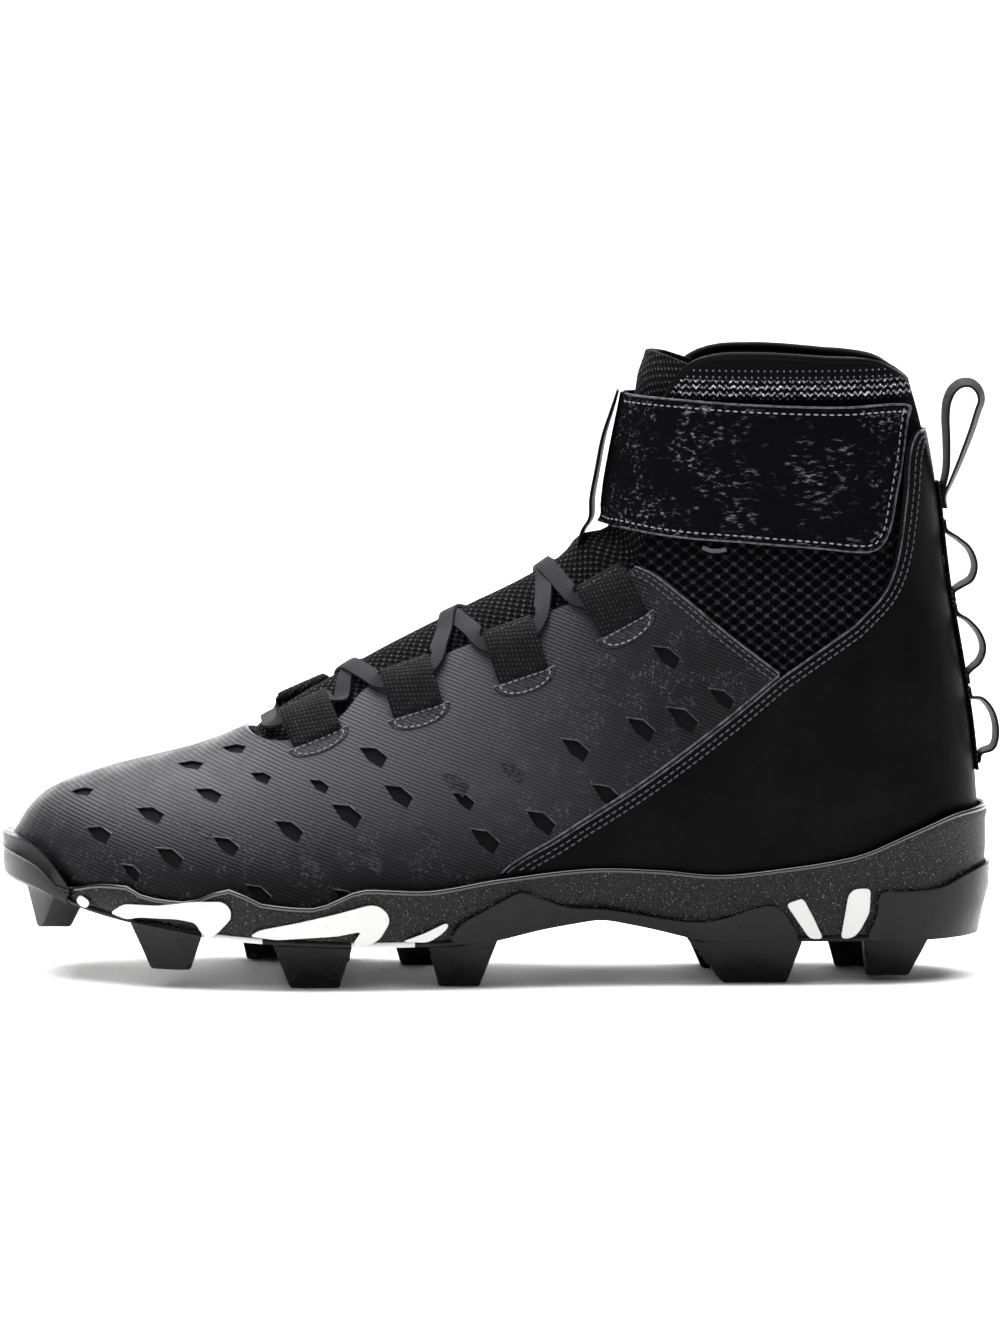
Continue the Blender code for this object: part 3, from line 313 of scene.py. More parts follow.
HEEL_POD = (
    (0.884, 0.010), (0.897, 0.230), (0.897, 0.395), (0.925, 0.385), (0.948, 0.388), (0.966, 0.400),
    (0.990, 0.490), (1.040, 0.610), (1.040, 0.000), (0.950, 0.000),
)
TOE_BUMPER = (
    (-0.040, 0.760), (0.000, 0.750), (0.014, 0.725), (0.032, 0.630), (0.048, 0.490), (0.059, 0.385),
    (0.053, 0.310), (0.0580, 0.265), (0.040, 0.325), (0.000, 0.400), (-0.040, 0.400),
)

# Lugs: along at the root's front and rear, along at the tip's front and rear,
# sideways at the root's and the tip's inner face and the tip's outer face, lift of the tip
LUG_COLUMNS = ("root_front", "root_rear", "tip_front", "tip_rear", "root_in", "tip_in", "tip_out", "lift")
LUGS = {
    "toe_lateral": (0.010, 0.069, 0.021, 0.056, -0.04, -0.02, 0.14, 1.18),
    "toe_medial": (0.010, 0.069, 0.021, 0.056, 0.15, 0.17, 0.33, 1.18),
    "forefoot_front_lateral": (0.122, 0.196, 0.143, 0.184, 0.26, 0.30, 0.42, 0.42),
    "forefoot_front_medial": (0.225, 0.285, 0.236, 0.277, 0.28, 0.32, 0.43, 0.05),
    "forefoot_rear_lateral": (0.270, 0.352, 0.287, 0.338, 0.26, 0.30, 0.42, 0.0),
    "forefoot_rear_medial": (0.300, 0.350, 0.307, 0.345, 0.24, 0.28, 0.39, 0.0),
    "ball_lateral": (0.430, 0.502, 0.441, 0.483, 0.22, 0.26, 0.37, 0.0),
    "ball_medial": (0.387, 0.452, 0.400, 0.436, 0.17, 0.21, 0.31, 0.0),
    "heel_front_lateral": (0.698, 0.818, 0.736, 0.803, 0.10, 0.14, 0.27, 0.0),
    "heel_front_medial": (0.694, 0.808, 0.717, 0.785, 0.09, 0.13, 0.255, 0.0),
    "heel_rear_lateral": (0.882, 0.952, 0.886, 0.930, 0.07, 0.10, 0.22, 0.12),
    "heel_rear_medial": (0.845, 0.945, 0.857, 0.915, 0.07, 0.10, 0.22, 0.06),
}

# Places along the fan of sections, and down from the crest, where the lace loops sit
LACE_LOOPS = (
    (6.15, 0.385),
    (7.35, 0.365),
    (8.65, 0.358),
    (10.32, 0.375),
)

# Ribbons seen from the side, as standoff from the heel's back line and rise
PULL_LOOP = (
    (1.4, 0.752), (3.6, 0.790), (5.2, 0.840), (6.6, 0.885), (8.4, 0.912), (11.0, 0.931), (14.2, 0.942),
    (17.2, 0.942), (18.8, 0.930), (18.6, 0.912), (16.6, 0.892), (13.6, 0.860), (10.3, 0.826), (7.2, 0.794),
    (4.4, 0.766), (2.6, 0.742),
)
HEEL_LOOPS = (
    ((1.2, 0.684), (4.5, 0.668), (7.6, 0.650), (8.8, 0.622), (7.2, 0.598), (3.5, 0.585), (1.2, 0.575)),
    ((1.2, 0.537), (4.2, 0.522), (6.6, 0.500), (7.0, 0.474), (5.0, 0.452), (2.6, 0.440), (1.2, 0.430)),
    ((1.2, 0.388), (3.8, 0.384), (6.2, 0.360), (6.4, 0.325), (4.8, 0.300), (1.8, 0.290)),
)

def spline(knots, values):
    """A natural cubic spline through the knots, as a function."""
    x = np.array(knots, float)
    y = np.array(values, float)
    step = np.diff(x)
    slope = np.diff(y) / step
    matrix = np.eye(len(x))
    right = np.zeros(len(x))
    for i in range(1, len(x) - 1):
        matrix[i, i - 1:i + 2] = (step[i - 1], 2 * (step[i - 1] + step[i]), step[i])
        right[i] = 3 * (slope[i] - slope[i - 1])
    bend = np.linalg.solve(matrix, right)

    def value(q):
        q = np.clip(q, x[0], x[-1])
        i = np.clip(np.searchsorted(x, q) - 1, 0, len(x) - 2)
        t = q - x[i]
        first = slope[i] - step[i] * (2 * bend[i] + bend[i + 1]) / 3
        return y[i] + first * t + bend[i] * t ** 2 + (bend[i + 1] - bend[i]) / (3 * step[i]) * t ** 3
    return value


def steady_curve(knots, values):
    """A smooth curve through the knots that never swings past them, as a function."""
    x = np.array(knots, float)
    y = np.array(values, float)
    step = np.diff(x)
    slope = np.diff(y) / step
    tangent = np.zeros(len(x))
    tangent[0] = slope[0]
    tangent[-1] = slope[-1]
    for i in range(1, len(x) - 1):
        if slope[i - 1] * slope[i] > 0:
            tangent[i] = 2 / (1 / slope[i - 1] + 1 / slope[i])

    def value(q):
        q = np.clip(q, x[0], x[-1])
        i = np.clip(np.searchsorted(x, q) - 1, 0, len(x) - 2)
        t = (q - x[i]) / step[i]
        return ((2 * t ** 3 - 3 * t ** 2 + 1) * y[i] + (t ** 3 - 2 * t ** 2 + t) * step[i] * tangent[i]
                + (3 * t ** 2 - 2 * t ** 3) * y[i + 1] + (t ** 3 - t ** 2) * step[i] * tangent[i + 1])
    return value


def column(table, index):
    return [row[index] for row in table]


def along(share):
    """X of a place given as a share of the last's length."""
    return TOE_X + share * LAST_LENGTH


def sole_height(share):
    """Z of a height on the sole."""
    return LUG_HEIGHT + share * SOLE_RISE


underside_share = steady_curve(column(SOLE_LINES, 0), column(SOLE_LINES, 1))
bed_share = steady_curve(column(SOLE_LINES, 0), column(SOLE_LINES, 2))
rim_share = steady_curve(column(RIM_LINE, 0), column(RIM_LINE, 1))
BALL_BED = sole_height(min(column(SOLE_LINES, 2)))


def underside(share):
    return sole_height(underside_share(share))


def foot_bed(share):
    return sole_height(bed_share(share))


def rim(share):
    return sole_height(rim_share(share))


def upper_height(share):
    """Z of a height on the upper."""
    return BALL_BED + share * UPPER_HEIGHT


lateral_share = spline(column(OUTLINE, 0), column(OUTLINE, 1))
medial_share = spline(column(OUTLINE, 0), column(OUTLINE, 2))


def half_and_middle(share):
    """Half width and middle line of the last's underside."""
    inner = min(max(share, TOE_ROUND), HEEL_ROUND)
    half = (lateral_share(inner) + medial_share(inner)) / 2
    middle = (medial_share(inner) - lateral_share(inner)) / 2
    if share < TOE_ROUND:
        reach = (TOE_ROUND - share) / TOE_ROUND
        half *= max(0.0, 1 - reach ** TOE_FULLNESS) ** (1 / TOE_FULLNESS)
        middle += (TOE_SIDE - middle) * reach
    if share > HEEL_ROUND:
        reach = min(1.0, (share - HEEL_ROUND) / (1 - HEEL_ROUND))
        half *= max(0.0, 1 - reach ** HEEL_FULLNESS) ** (1 / HEEL_FULLNESS)
        middle *= 1 - reach
    return half * BALL_WIDTH, middle * BALL_WIDTH


def section_splines():
    """One function of the fan's position for each column of SECTIONS."""
    feather = list(range(CLOSING + 1))
    rings = list(range(CLOSING, TOP + 1))
    everywhere = list(range(TOP + 1))
    heel_rise = (foot_bed(1.0) - BALL_BED) / UPPER_HEIGHT
    toe_rise = (foot_bed(0.0) - BALL_BED) / UPPER_HEIGHT
    return {
        "feather_along": spline(feather, [SECTIONS[i][0] for i in feather]),
        "back_along": spline(rings, [SECTIONS[i][0] for i in rings]),
        "back_rise": spline(rings, [heel_rise] + [SECTIONS[i][1] for i in rings[1:]]),
        "crest_along": spline(everywhere, column(SECTIONS, 2)),
        "crest_rise": spline(everywhere, [toe_rise] + column(SECTIONS, 3)[1:]),
        "crest_side": spline(everywhere, column(SECTIONS, 4)),
        "half": spline(everywhere, column(SECTIONS, 5)),
        "widest": spline(everywhere, column(SECTIONS, 6)),
        "fullness": spline(everywhere, column(SECTIONS, 7)),
    }


FAN = section_splines()
CURVES = {}

# The first sections share their base, so directions there are read a little way up
PIVOT_ROWS = 3
PIVOT_MARGIN = 0.03


SECTION_STEPS = 160

# Steps along the fan and across it that directions are read over
PLACE_STEP = 0.03
SHARE_STEP = 0.006


def section_curve(place):
    """The upper's cross-section at one place of the fan, from lateral base over the crest."""
    key = round(float(place), 6)
    if key in CURVES:
        return CURVES[key]
    if place <= CLOSING:
        share = min(float(FAN["feather_along"](place)), 1.0)
        base_half, base_side = half_and_middle(share)
        base = np.array((along(share), base_side, foot_bed(share)))
    else:
        base_half = 0.0
        base = np.array((along(FAN["back_along"](place)), 0.0, upper_height(FAN["back_rise"](place))))
    crest = np.array((along(FAN["crest_along"](place)), FAN["crest_side"](place) * BALL_WIDTH,
                      upper_height(FAN["crest_rise"](place))))
    half = float(FAN["half"](place)) * BALL_WIDTH
    widest = max(float(FAN["widest"](place)), 0.0)
    power = float(FAN["fullness"](place))
    turn = np.linspace(0, math.pi / 2, SECTION_STEPS)
    below = np.cos(turn) ** (2 / power)
    below[-1] = 0.0
    above = np.sin(turn[1:]) ** (2 / power)
    kept = 1 - (base_half / half) ** power
    height = np.concatenate((widest * (1 - below), widest + (1 - widest) * above))
    width = half * np.concatenate(((1 - below ** power * kept) ** (1 / power),
                                   np.clip(1 - above ** power, 0, None) ** (1 / power)))
    middle = base + np.outer(height, crest - base)
    outward = np.outer(width, (0.0, 1.0, 0.0))
    points = np.concatenate((middle - outward, (middle + outward)[-2::-1]))
    run = np.concatenate(((0.0,), np.cumsum(np.linalg.norm(np.diff(points, axis=0), axis=1))))
    CURVES[key] = (run / run[-1], points)
    return CURVES[key]


def on_section(place, across):
    run, points = section_curve(place)
    if place >= CLOSING:
        across = np.where(np.abs(across - 0.5) > 0.5, across % 1.0, across)
    across = np.clip(across, 0.0, 1.0)
    return np.stack([np.interp(across, run, points[:, i]) for i in range(3)], axis=-1)


def last_row(place, across, offset=0.0):
    """Points of the upper's surface at one place of the fan, moved out by offset."""
    across = np.asarray(across, float)
    here = on_section(place, across)
    lowest = CLOSING if place >= CLOSING else 0.0
    if place < PIVOT_ROWS:
        across = np.clip(across, PIVOT_MARGIN, 1 - PIVOT_MARGIN)
    later = on_section(min(place + PLACE_STEP, TOP), across)
    sooner = on_section(max(place - PLACE_STEP, lowest), across)
    sideways = on_section(place, across + SHARE_STEP) - on_section(place, across - SHARE_STEP)
    normal = np.cross(later - sooner, sideways)
    normal /= np.linalg.norm(normal, axis=-1, keepdims=True)
    return here + offset * normal


def last_point(place, across, offset=0.0):
    return last_row(place, [across], offset)[0]


def fan_places():
    to_heel = np.linspace(0, CLOSING, TOE_TO_HEEL_STEPS + 1)
    to_top = np.linspace(CLOSING, TOP, HEEL_TO_TOP_STEPS + 1)
    return np.concatenate((to_heel, to_top[1:]))


def last_grid(offset):
    """The whole surface of the upper as rows of points, closed up the heel."""
    across = np.linspace(0, 1, ACROSS_STEPS + 1)
    rows = []
    for place in fan_places():
        row = last_row(place, across, offset)
        if place >= CLOSING:
            seam = (row[0] + row[-1]) / 2
            seam[1] = 0.0
            row[0] = seam
            row[-1] = seam
        rows.append(row)
    return rows


def upper_outline(points):
    return [(along(a), upper_height(r)) for a, r in points]


def sole_outline(points):
    return [(along(a), sole_height(h)) for a, h in points]


def shifted(outline, right, up):
    return [(x + right, z + up) for x, z in outline]


# Stations round each end and along each side of the sole
END_STATIONS = 26
SIDE_STATIONS = 44


def perimeter():
    """Stations round the last's underside: place along, X, Y and outward direction."""
    turns = [i * math.pi / 2 / END_STATIONS for i in range(END_STATIONS + 1)]
    toe = [TOE_ROUND * (1 - math.cos(turn)) for turn in turns[:-1]]
    straight = [TOE_ROUND + (HEEL_ROUND - TOE_ROUND) * i / SIDE_STATIONS for i in range(SIDE_STATIONS + 1)]
    heel = [HEEL_ROUND + (1 - HEEL_ROUND) * math.sin(turn) for turn in turns[1:]]
    lateral = []
    medial = []
    for share in toe + straight + heel:
        half, side = half_and_middle(share)
        lateral.append((share, along(share), side - half))
        medial.append((share, along(share), side + half))
    loop = lateral[::-1] + medial[1:-1]
    stations = []
    for i, (share, x, y) in enumerate(loop):
        before = loop[i - 1]
        after = loop[(i + 1) % len(loop)]
        run_x = after[1] - before[1]
        run_y = after[2] - before[2]
        length = math.hypot(run_x, run_y)
        stations.append((share, x, y, -run_y / length, run_x / length))
    return stations


STATIONS = perimeter()


def wall_reach(share, z, sideways):
    """How far the sole's side stands out of the last at a height."""
    return WELT + WALL_LEAN * max(0.0, z - foot_bed(share)) * sideways


# Bulge of the sidewall: share of its height, and millimetres outwards
SIDE_BULGE = ((0.16, 0.1), (0.55, 0.5), (0.84, 0.3), (0.92, 0.8), (1.0, 0.5))
# Shares of the lugs' lean: everywhere, and more of it where the sole's side faces sideways
END_LEAN = 0.55
SIDE_LEAN = 0.45
ENVELOPE_UNDER = 2.0 * MM
ENVELOPE_OVER = 14.0 * MM
PLATE_ROUND = 0.4 * MM
INSOLE_UNDERCUT = 0.4 * MM
INSOLE_ROUND = 0.6 * MM
INSOLE_WIDEST = 0.3
# How much further out a lug's root reaches than its tip, as a share of BALL_WIDTH
ROOT_SPREAD = 0.10


def side_profile(share, sideways, bottom, top, out):
    """The midsole's side from its lower edge to its lip, moved out by out."""
    points = [(WELT - EDGE_CHAMFER + out, bottom)]
    for level, bulge in SIDE_BULGE:
        z = bottom + level * (top - bottom)
        points.append((wall_reach(share, z, sideways) + bulge * MM + out, z))
    return points


def core_profile(bottom_gap, out, top_gap=0.0):
    """The outside of the midsole and plate, with room round it."""
    def profile(share, sideways):
        bottom = underside(share) + bottom_gap
        return side_profile(share, sideways, bottom, rim(share) + top_gap, out)
    return profile


def envelope_profile(out):
    """The outside of lugs and pods: leaning in below the plate."""
    def profile(share, sideways):
        side = side_profile(share, sideways, underside(share), rim(share), out)
        lean = LUG_LEAN * (END_LEAN + SIDE_LEAN * sideways)
        return [(side[0][0] - lean, -ENVELOPE_UNDER)] + side + [(side[-1][0], rim(share) + ENVELOPE_OVER)]
    return profile


def plate_profile(share, _):
    """The plate's rounded edge, alike all the way round."""
    bottom = underside(share)
    edge = WELT - EDGE_CHAMFER
    return [(edge - PLATE_ROUND, bottom), (edge, bottom + PLATE_WALL / 2),
            (edge - PLATE_ROUND / 2, bottom + PLATE_WALL)]


def insole_profile(share, _):
    """The sock liner's edge, alike all the way round."""
    bed = foot_bed(share)
    inset = -(UPPER_WALL + 4 * FIT)
    return [(inset - INSOLE_UNDERCUT, bed), (inset, bed + INSOLE_WIDEST * INSOLE_WALL),
            (inset - INSOLE_ROUND, bed + INSOLE_WALL)]


def bed_profile(share, _):
    """The room just over the foot bed, inside the upper's wall."""
    bed = foot_bed(share)
    inset = -(UPPER_WALL + FIT)
    return [(inset, bed - FIT), (inset, bed + INSOLE_WALL)]


def lug_block(name, row):
    """One lug's four-sided taper, its root running up inside the sole."""
    size = dict(zip(LUG_COLUMNS, row))
    side = 1.0 if name.endswith("medial") else -1.0
    tip = size["lift"] * LUG_HEIGHT
    bm = bmesh.new()
    bmesh.ops.create_cube(bm, size=2.0)
    for vert in bm.verts:
        rear = vert.co.x > 0
        outer = vert.co.y > 0
        low = vert.co.z < 0
        root_share = size["root_rear"] if rear else size["root_front"]
        root_x = along(root_share)
        root = underside(root_share) + LUG_ROOT
        tall = (root - tip) / (root - LUG_ROOT - tip)
        tip_x = along(size["tip_rear"] if rear else size["tip_front"])
        root_y = (size["tip_out"] + ROOT_SPREAD if outer else size["root_in"]) * BALL_WIDTH
        tip_y = (size["tip_out"] if outer else size["tip_in"]) * BALL_WIDTH
        vert.co.x = tip_x if low else tip_x + (root_x - tip_x) * tall
        vert.co.y = side * (tip_y if low else tip_y + (root_y - tip_y) * tall)
        vert.co.z = tip if low else root
    face_outwards(bm)
    return bm


def unit(vector):
    return vector / np.linalg.norm(vector)


# Steps across and along the upper that a loop's directions are read over
LOOP_SHARE_STEP = 0.02
LOOP_PLACE_STEP = 0.05


def loop_frame(place, across):
    """Origin, uphill, forward and outward directions where a lace loop sits."""
    origin = last_point(place, across, PANEL_WALL + FIT)
    toward_crest = LOOP_SHARE_STEP if across < 0.5 else -LOOP_SHARE_STEP
    uphill = unit(last_point(place, across + toward_crest) - last_point(place, across - toward_crest))
    rearward = unit(last_point(place + LOOP_PLACE_STEP, across) - last_point(place - LOOP_PLACE_STEP, across))
    outward = unit(np.cross(uphill, rearward))
    if outward[2] < 0:
        outward = -outward
    rearward = unit(np.cross(outward, uphill))
    if rearward[0] < 0:
        rearward = -rearward
    return origin, uphill, rearward, outward


LOOP_LIFT = 3.0 * FIT
EYE_START = LOOP_REACH - 0.4 * LOOP_EYE - LACE_WIDTH - 3 * FIT
# Radius that the webbing bends to over the instep
LOOP_CURVE = 32.0 * MM


def loop_drop(up):
    """How far the bent webbing lies under its flat plane, at a length up from its middle."""
    return up * up / (2 * LOOP_CURVE)


def throat_height(x):
    """Height of the throat's edge at an X."""
    edge = upper_outline(THROAT_EDGE)
    return float(np.interp(x, [point[0] for point in edge], [point[1] for point in edge]))


def eye_point(number, side, shift):
    """A point on the middle of a lace where it runs through a loop, with its flat side and normal."""
    place, across = LACE_LOOPS[number]
    spot = across if side < 0 else 1 - across
    origin, uphill, rearward, outward = loop_frame(place, spot)
    up = EYE_START + 1.5 * FIT + LACE_WIDTH / 2
    middle = LOOP_LIFT + LOOP_BAND + LOOP_EYE / 2 - loop_drop(up)
    centre = origin + uphill * up + outward * middle + rearward * shift
    return centre, np.cross(outward, rearward), outward


# The lace's first bar: places ahead of the first loops, and its points as shares of LACE_EDGE
LACE_BAR_AHEAD = 0.42
LACE_BAR = (-0.02, 0.35, 0.75)
# A crossing: its points as shares of its run, its width beside LACE_EDGE, and its run in places
LACE_CROSSING = (0.1, 0.3, 0.5, 0.7, 0.9)
CROSSING_WIDTH = 2.2
CROSSING_RUN = 0.55


def lace_strand(name, first_side, lift):
    """One half of the lace, crossing from loop to loop up to the top pair."""
    centres = []
    normals = []
    flats = []

    def add(centre, normal, flat=None):
        centres.append(np.array(centre))
        normals.append(unit(np.array(normal)))
        flats.append(flat)

    def over_tongue(place, across, raised=0.0):
        """Over the panels beside the throat, and over the tongue's padding inside it."""
        surface = last_point(place, across)
        outward = last_point(place, across, 1.0) - last_point(place, across, 0.0)
        inside = surface[2] - throat_height(surface[0]) - LACE_CLEAR
        sunk = min(1.0, max(0.0, inside / LACE_SINK))
        high = PANEL_WALL + 3 * FIT + LACE_THICKNESS / 2
        low = -UPPER_WALL - FIT + LACE_PRESSED + swell(surface[0], across)
        add(last_point(place, across, high + (low - high) * sunk + raised), outward)

    half = LOOP_WIDTH / 2 + FIT
    side = first_side
    for share in LACE_BAR:
        over_tongue(LACE_LOOPS[0][0] - LACE_BAR_AHEAD, 0.5 + side * share * LACE_EDGE)
    for number, (here, _) in enumerate(LACE_LOOPS):
        for shift in (-half, half):
            centre, flat, outward = eye_point(number, side, shift)
            add(centre, outward, flat)
        if number < len(LACE_LOOPS) - 1:
            middle = (here + LACE_LOOPS[number + 1][0]) / 2
            for share in LACE_CROSSING:
                across = 0.5 + side * (0.5 - share) * CROSSING_WIDTH * LACE_EDGE
                raised = lift * math.sin(math.pi * share)
                over_tongue(middle + (share - 0.5) * CROSSING_RUN, across, raised)
        side = -side
    acrosses = []
    for i, centre in enumerate(centres):
        after = centres[min(i + 1, len(centres) - 1)]
        before = centres[max(i - 1, 0)]
        acrosses.append(np.cross(normals[i], after - before) if flats[i] is None else flats[i])
    return band(name, centres, acrosses, normals, LACE_WIDTH, LACE_THICKNESS)


# Points that a long line of the upper is read at
LINE_STEPS = 120


def back_line(rise):
    """X of the heel's back line, over the heel panel, at a height on the upper."""
    base = np.array([section_curve(place)[1][0] for place in np.linspace(CLOSING, TOP, LINE_STEPS)])
    return float(np.interp(upper_height(rise), base[:, 2], base[:, 0])) + FIT + PANEL_WALL


CUTTERS = []

# Turns of eight points round a small tube
AROUND = tuple(2 * math.pi * k / 8 for k in range(8))


def linear(code):
    """A colour written as sRGB hex, as linear values."""
    values = []
    for i in (0, 2, 4):
        part = int(code[i:i + 2], 16) / 255
        values.append(part / 12.92 if part <= 0.04045 else ((part + 0.055) / 1.055) ** 2.4)
    return (*values, 1.0)


def node(tree, kind, *values, out=0, **settings):
    """Adds one shader node: inputs in order, then a dictionary of others; gives one of its outputs."""
    made = tree.nodes.new("ShaderNode" + kind)
    for key, value in settings.items():
        setattr(made, key, value)
    others = {}
    if values and isinstance(values[-1], dict):
        others = values[-1]
        values = values[:-1]
    for key, value in list(enumerate(values)) + list(others.items()):
        if isinstance(value, bpy.types.NodeSocket):
            tree.links.new(value, made.inputs[key])
        else:
            made.inputs[key].default_value = linear(value) if isinstance(value, str) else value
    return made.outputs[out]


def new_material(name, colour, roughness, **inputs):
    made = bpy.data.materials.new(name)
    made.use_nodes = True
    tree = made.node_tree
    shader = tree.nodes["Principled BSDF"]
    shader.inputs["Base Color"].default_value = linear(colour)
    shader.inputs["Roughness"].default_value = roughness
    for key, value in inputs.items():
        shader.inputs[key.replace("_", " ")].default_value = value
    return made, tree


# Settings that many nodes share
COLOURS = {"out": 2, "data_type": "RGBA"}
EASED = {"interpolation_type": "SMOOTHSTEP"}
TIMES = {"operation": "MULTIPLY"}
TIMES_PLUS = {"operation": "MULTIPLY_ADD"}
# Pitch in millimetres and slant of the vamp's fine ribs
VAMP_RIBS = (1.05, 20.0)


def join_patterns(tree, tones=None, roughness=None, height=None, depth=0.1 * MM, strength=0.8, edge=0.0):
    """Joins a material's patterns to its shader: a share with its low and high tone, roughness, relief
    and softened edges."""
    shader = tree.nodes["Principled BSDF"]
    colour = None
    normal = None
    if tones:
        colour = node(tree, "Mix", {0: tones[0], 6: tones[1], 7: tones[2]}, **COLOURS)
    if height is not None:
        normal = node(tree, "Bump", {"Height": height, "Distance": depth, "Strength": strength})
    if edge:
        softened = {"Radius": edge}
        if normal is not None:
            softened["Normal"] = normal
        normal = node(tree, "Bevel", softened, samples=4)
    for key, value in (("Base Color", colour), ("Roughness", roughness), ("Normal", normal)):
        if value is not None:
            tree.links.new(value, shader.inputs[key])


def solid_place(tree):
    """Object coordinates in millimetres: the vector, X and Z."""
    vector = node(tree, "VectorMath", node(tree, "TexCoord", out=3), {"Scale": 1 / MM}, operation="SCALE")
    parts = node(tree, "SeparateXYZ", vector).node.outputs
    return vector, parts["X"], parts["Z"]


def cloth_place(tree):
    """Millimetres along and across a piece's own cloth: the vector, U and V."""
    place = node(tree, "UVMap", uv_map="skin")
    vector = node(tree, "VectorMath", place, {"Scale": 1 / MM}, operation="SCALE")
    parts = node(tree, "SeparateXYZ", vector).node.outputs
    return vector, parts["X"], parts["Y"]


def ribs(tree, first, second, pitch, degrees):
    """Parallel rounded lines, pitch millimetres apart, turned from the first axis, from 0 to 1."""
    turn = math.radians(degrees)
    part = node(tree, "Math", first, math.cos(turn) * 2 * math.pi / pitch, **TIMES)
    phase = node(tree, "Math", second, math.sin(turn) * 2 * math.pi / pitch, part, **TIMES_PLUS)
    wave = node(tree, "Math", phase, operation="SINE")
    return node(tree, "Math", wave, 0.5, 0.5, **TIMES_PLUS)


def speckle(tree, vector, size, low, high):
    """Small uneven flecks about size millimetres across."""
    spots = node(tree, "TexNoise", {"Vector": vector, "Scale": 1 / size, "Detail": 2.0, "Roughness": 0.7})
    return node(tree, "MapRange", spots, low, high, **EASED)


def vamp_material():
    # Coated ripstop: fine slanting ribs about 1 mm apart, satin, more flecked low down, with painted light up
    # on the forefoot and painted shade low down and towards the rear
    made, tree = new_material("coated_ripstop", "141415", 0.42, Specular_IOR_Level=0.08)
    vector, x, z = solid_place(tree)
    fine = ribs(tree, z, x, *VAMP_RIBS)
    cross = ribs(tree, z, x, 2.1, -62.0)
    # Painted light and shade: z and x give a share that runs from a painted shade tone low down and towards
    # the rear to a painted lit tone up on the forefoot
    tall = node(tree, "MapRange", z, 26.0, 66.0, **EASED)
    ahead = node(tree, "MapRange", x, 62.0, -30.0, {3: 0.12, 4: 1.0}, **EASED)
    high = node(tree, "Math", tall, ahead, **TIMES)
    shaded_rib_tone = node(tree, "Mix", {0: fine, 6: "050506", 7: "0a0a0b"}, **COLOURS)
    lit_rib_tone = node(tree, "Mix", {0: fine, 6: "29292b", 7: "3a3a3d"}, **COLOURS)
    body = node(tree, "Mix", {0: high, 6: shaded_rib_tone, 7: lit_rib_tone}, **COLOURS)
    mottle = speckle(tree, vector, 9.0, 0.44, 0.62)
    flecks = node(tree, "Math", speckle(tree, vector, 0.75, 0.55, 0.68), mottle, **TIMES)
    # More flecks where the shade is painted
    few = node(tree, "Math", 1.0, high, operation="SUBTRACT")
    amount = node(tree, "Math", few, 0.22, 0.14, **TIMES_PLUS)
    shown = node(tree, "Math", flecks, amount, **TIMES)
    woven = node(tree, "Math", cross, 0.4, fine, **TIMES_PLUS)
    raised = node(tree, "Math", shown, 1.6, woven, **TIMES_PLUS)
    rough = node(tree, "Math", mottle, 0.12, 0.34, **TIMES_PLUS)
    join_patterns(tree, (shown, body, "6c6c70"), rough, raised, 0.12 * MM)
    return made


def dimple_shade_material():
    # The floor of each pressed dimple: matt, and near black as painted shade inside the recess
    made, tree = new_material("dimple_painted_shade", "040405", 0.8, Specular_IOR_Level=0.1)
    vector = solid_place(tree)[0]
    join_patterns(tree, height=speckle(tree, vector, 0.6, 0.3, 0.7))
    return made


def patch_material():
    # Lighter printed kites between the dimples, with the same ribs showing through
    made, tree = new_material("lighter_print", "242426", 0.5, Specular_IOR_Level=0.12)
    vector, x, z = solid_place(tree)
    fine = ribs(tree, z, x, *VAMP_RIBS)
    worn = speckle(tree, vector, 1.2, 0.35, 0.62)
    body = node(tree, "Mix", {0: fine, 6: "18181a", 7: "303033"}, **COLOURS)
    join_patterns(tree, (worn, "101011", body), None, fine, 0.12 * MM)
    return made


def quarter_material():
    # Smooth pressed synthetic: near black, soft sheen, a very fine grain
    made, tree = new_material("pressed_synthetic", "080809", 0.5, Specular_IOR_Level=0.03)
    vector = solid_place(tree)[0]
    soft = speckle(tree, vector, 24.0, 0.3, 0.7)
    grain = node(tree, "TexNoise", {"Vector": vector, "Scale": 1 / 0.6, "Detail": 3.0})
    rough = node(tree, "Math", soft, 0.1, 0.4, **TIMES_PLUS)
    join_patterns(tree, (soft, "050506", "0a0a0b"), rough, grain, 0.06 * MM, 0.7)
    return made


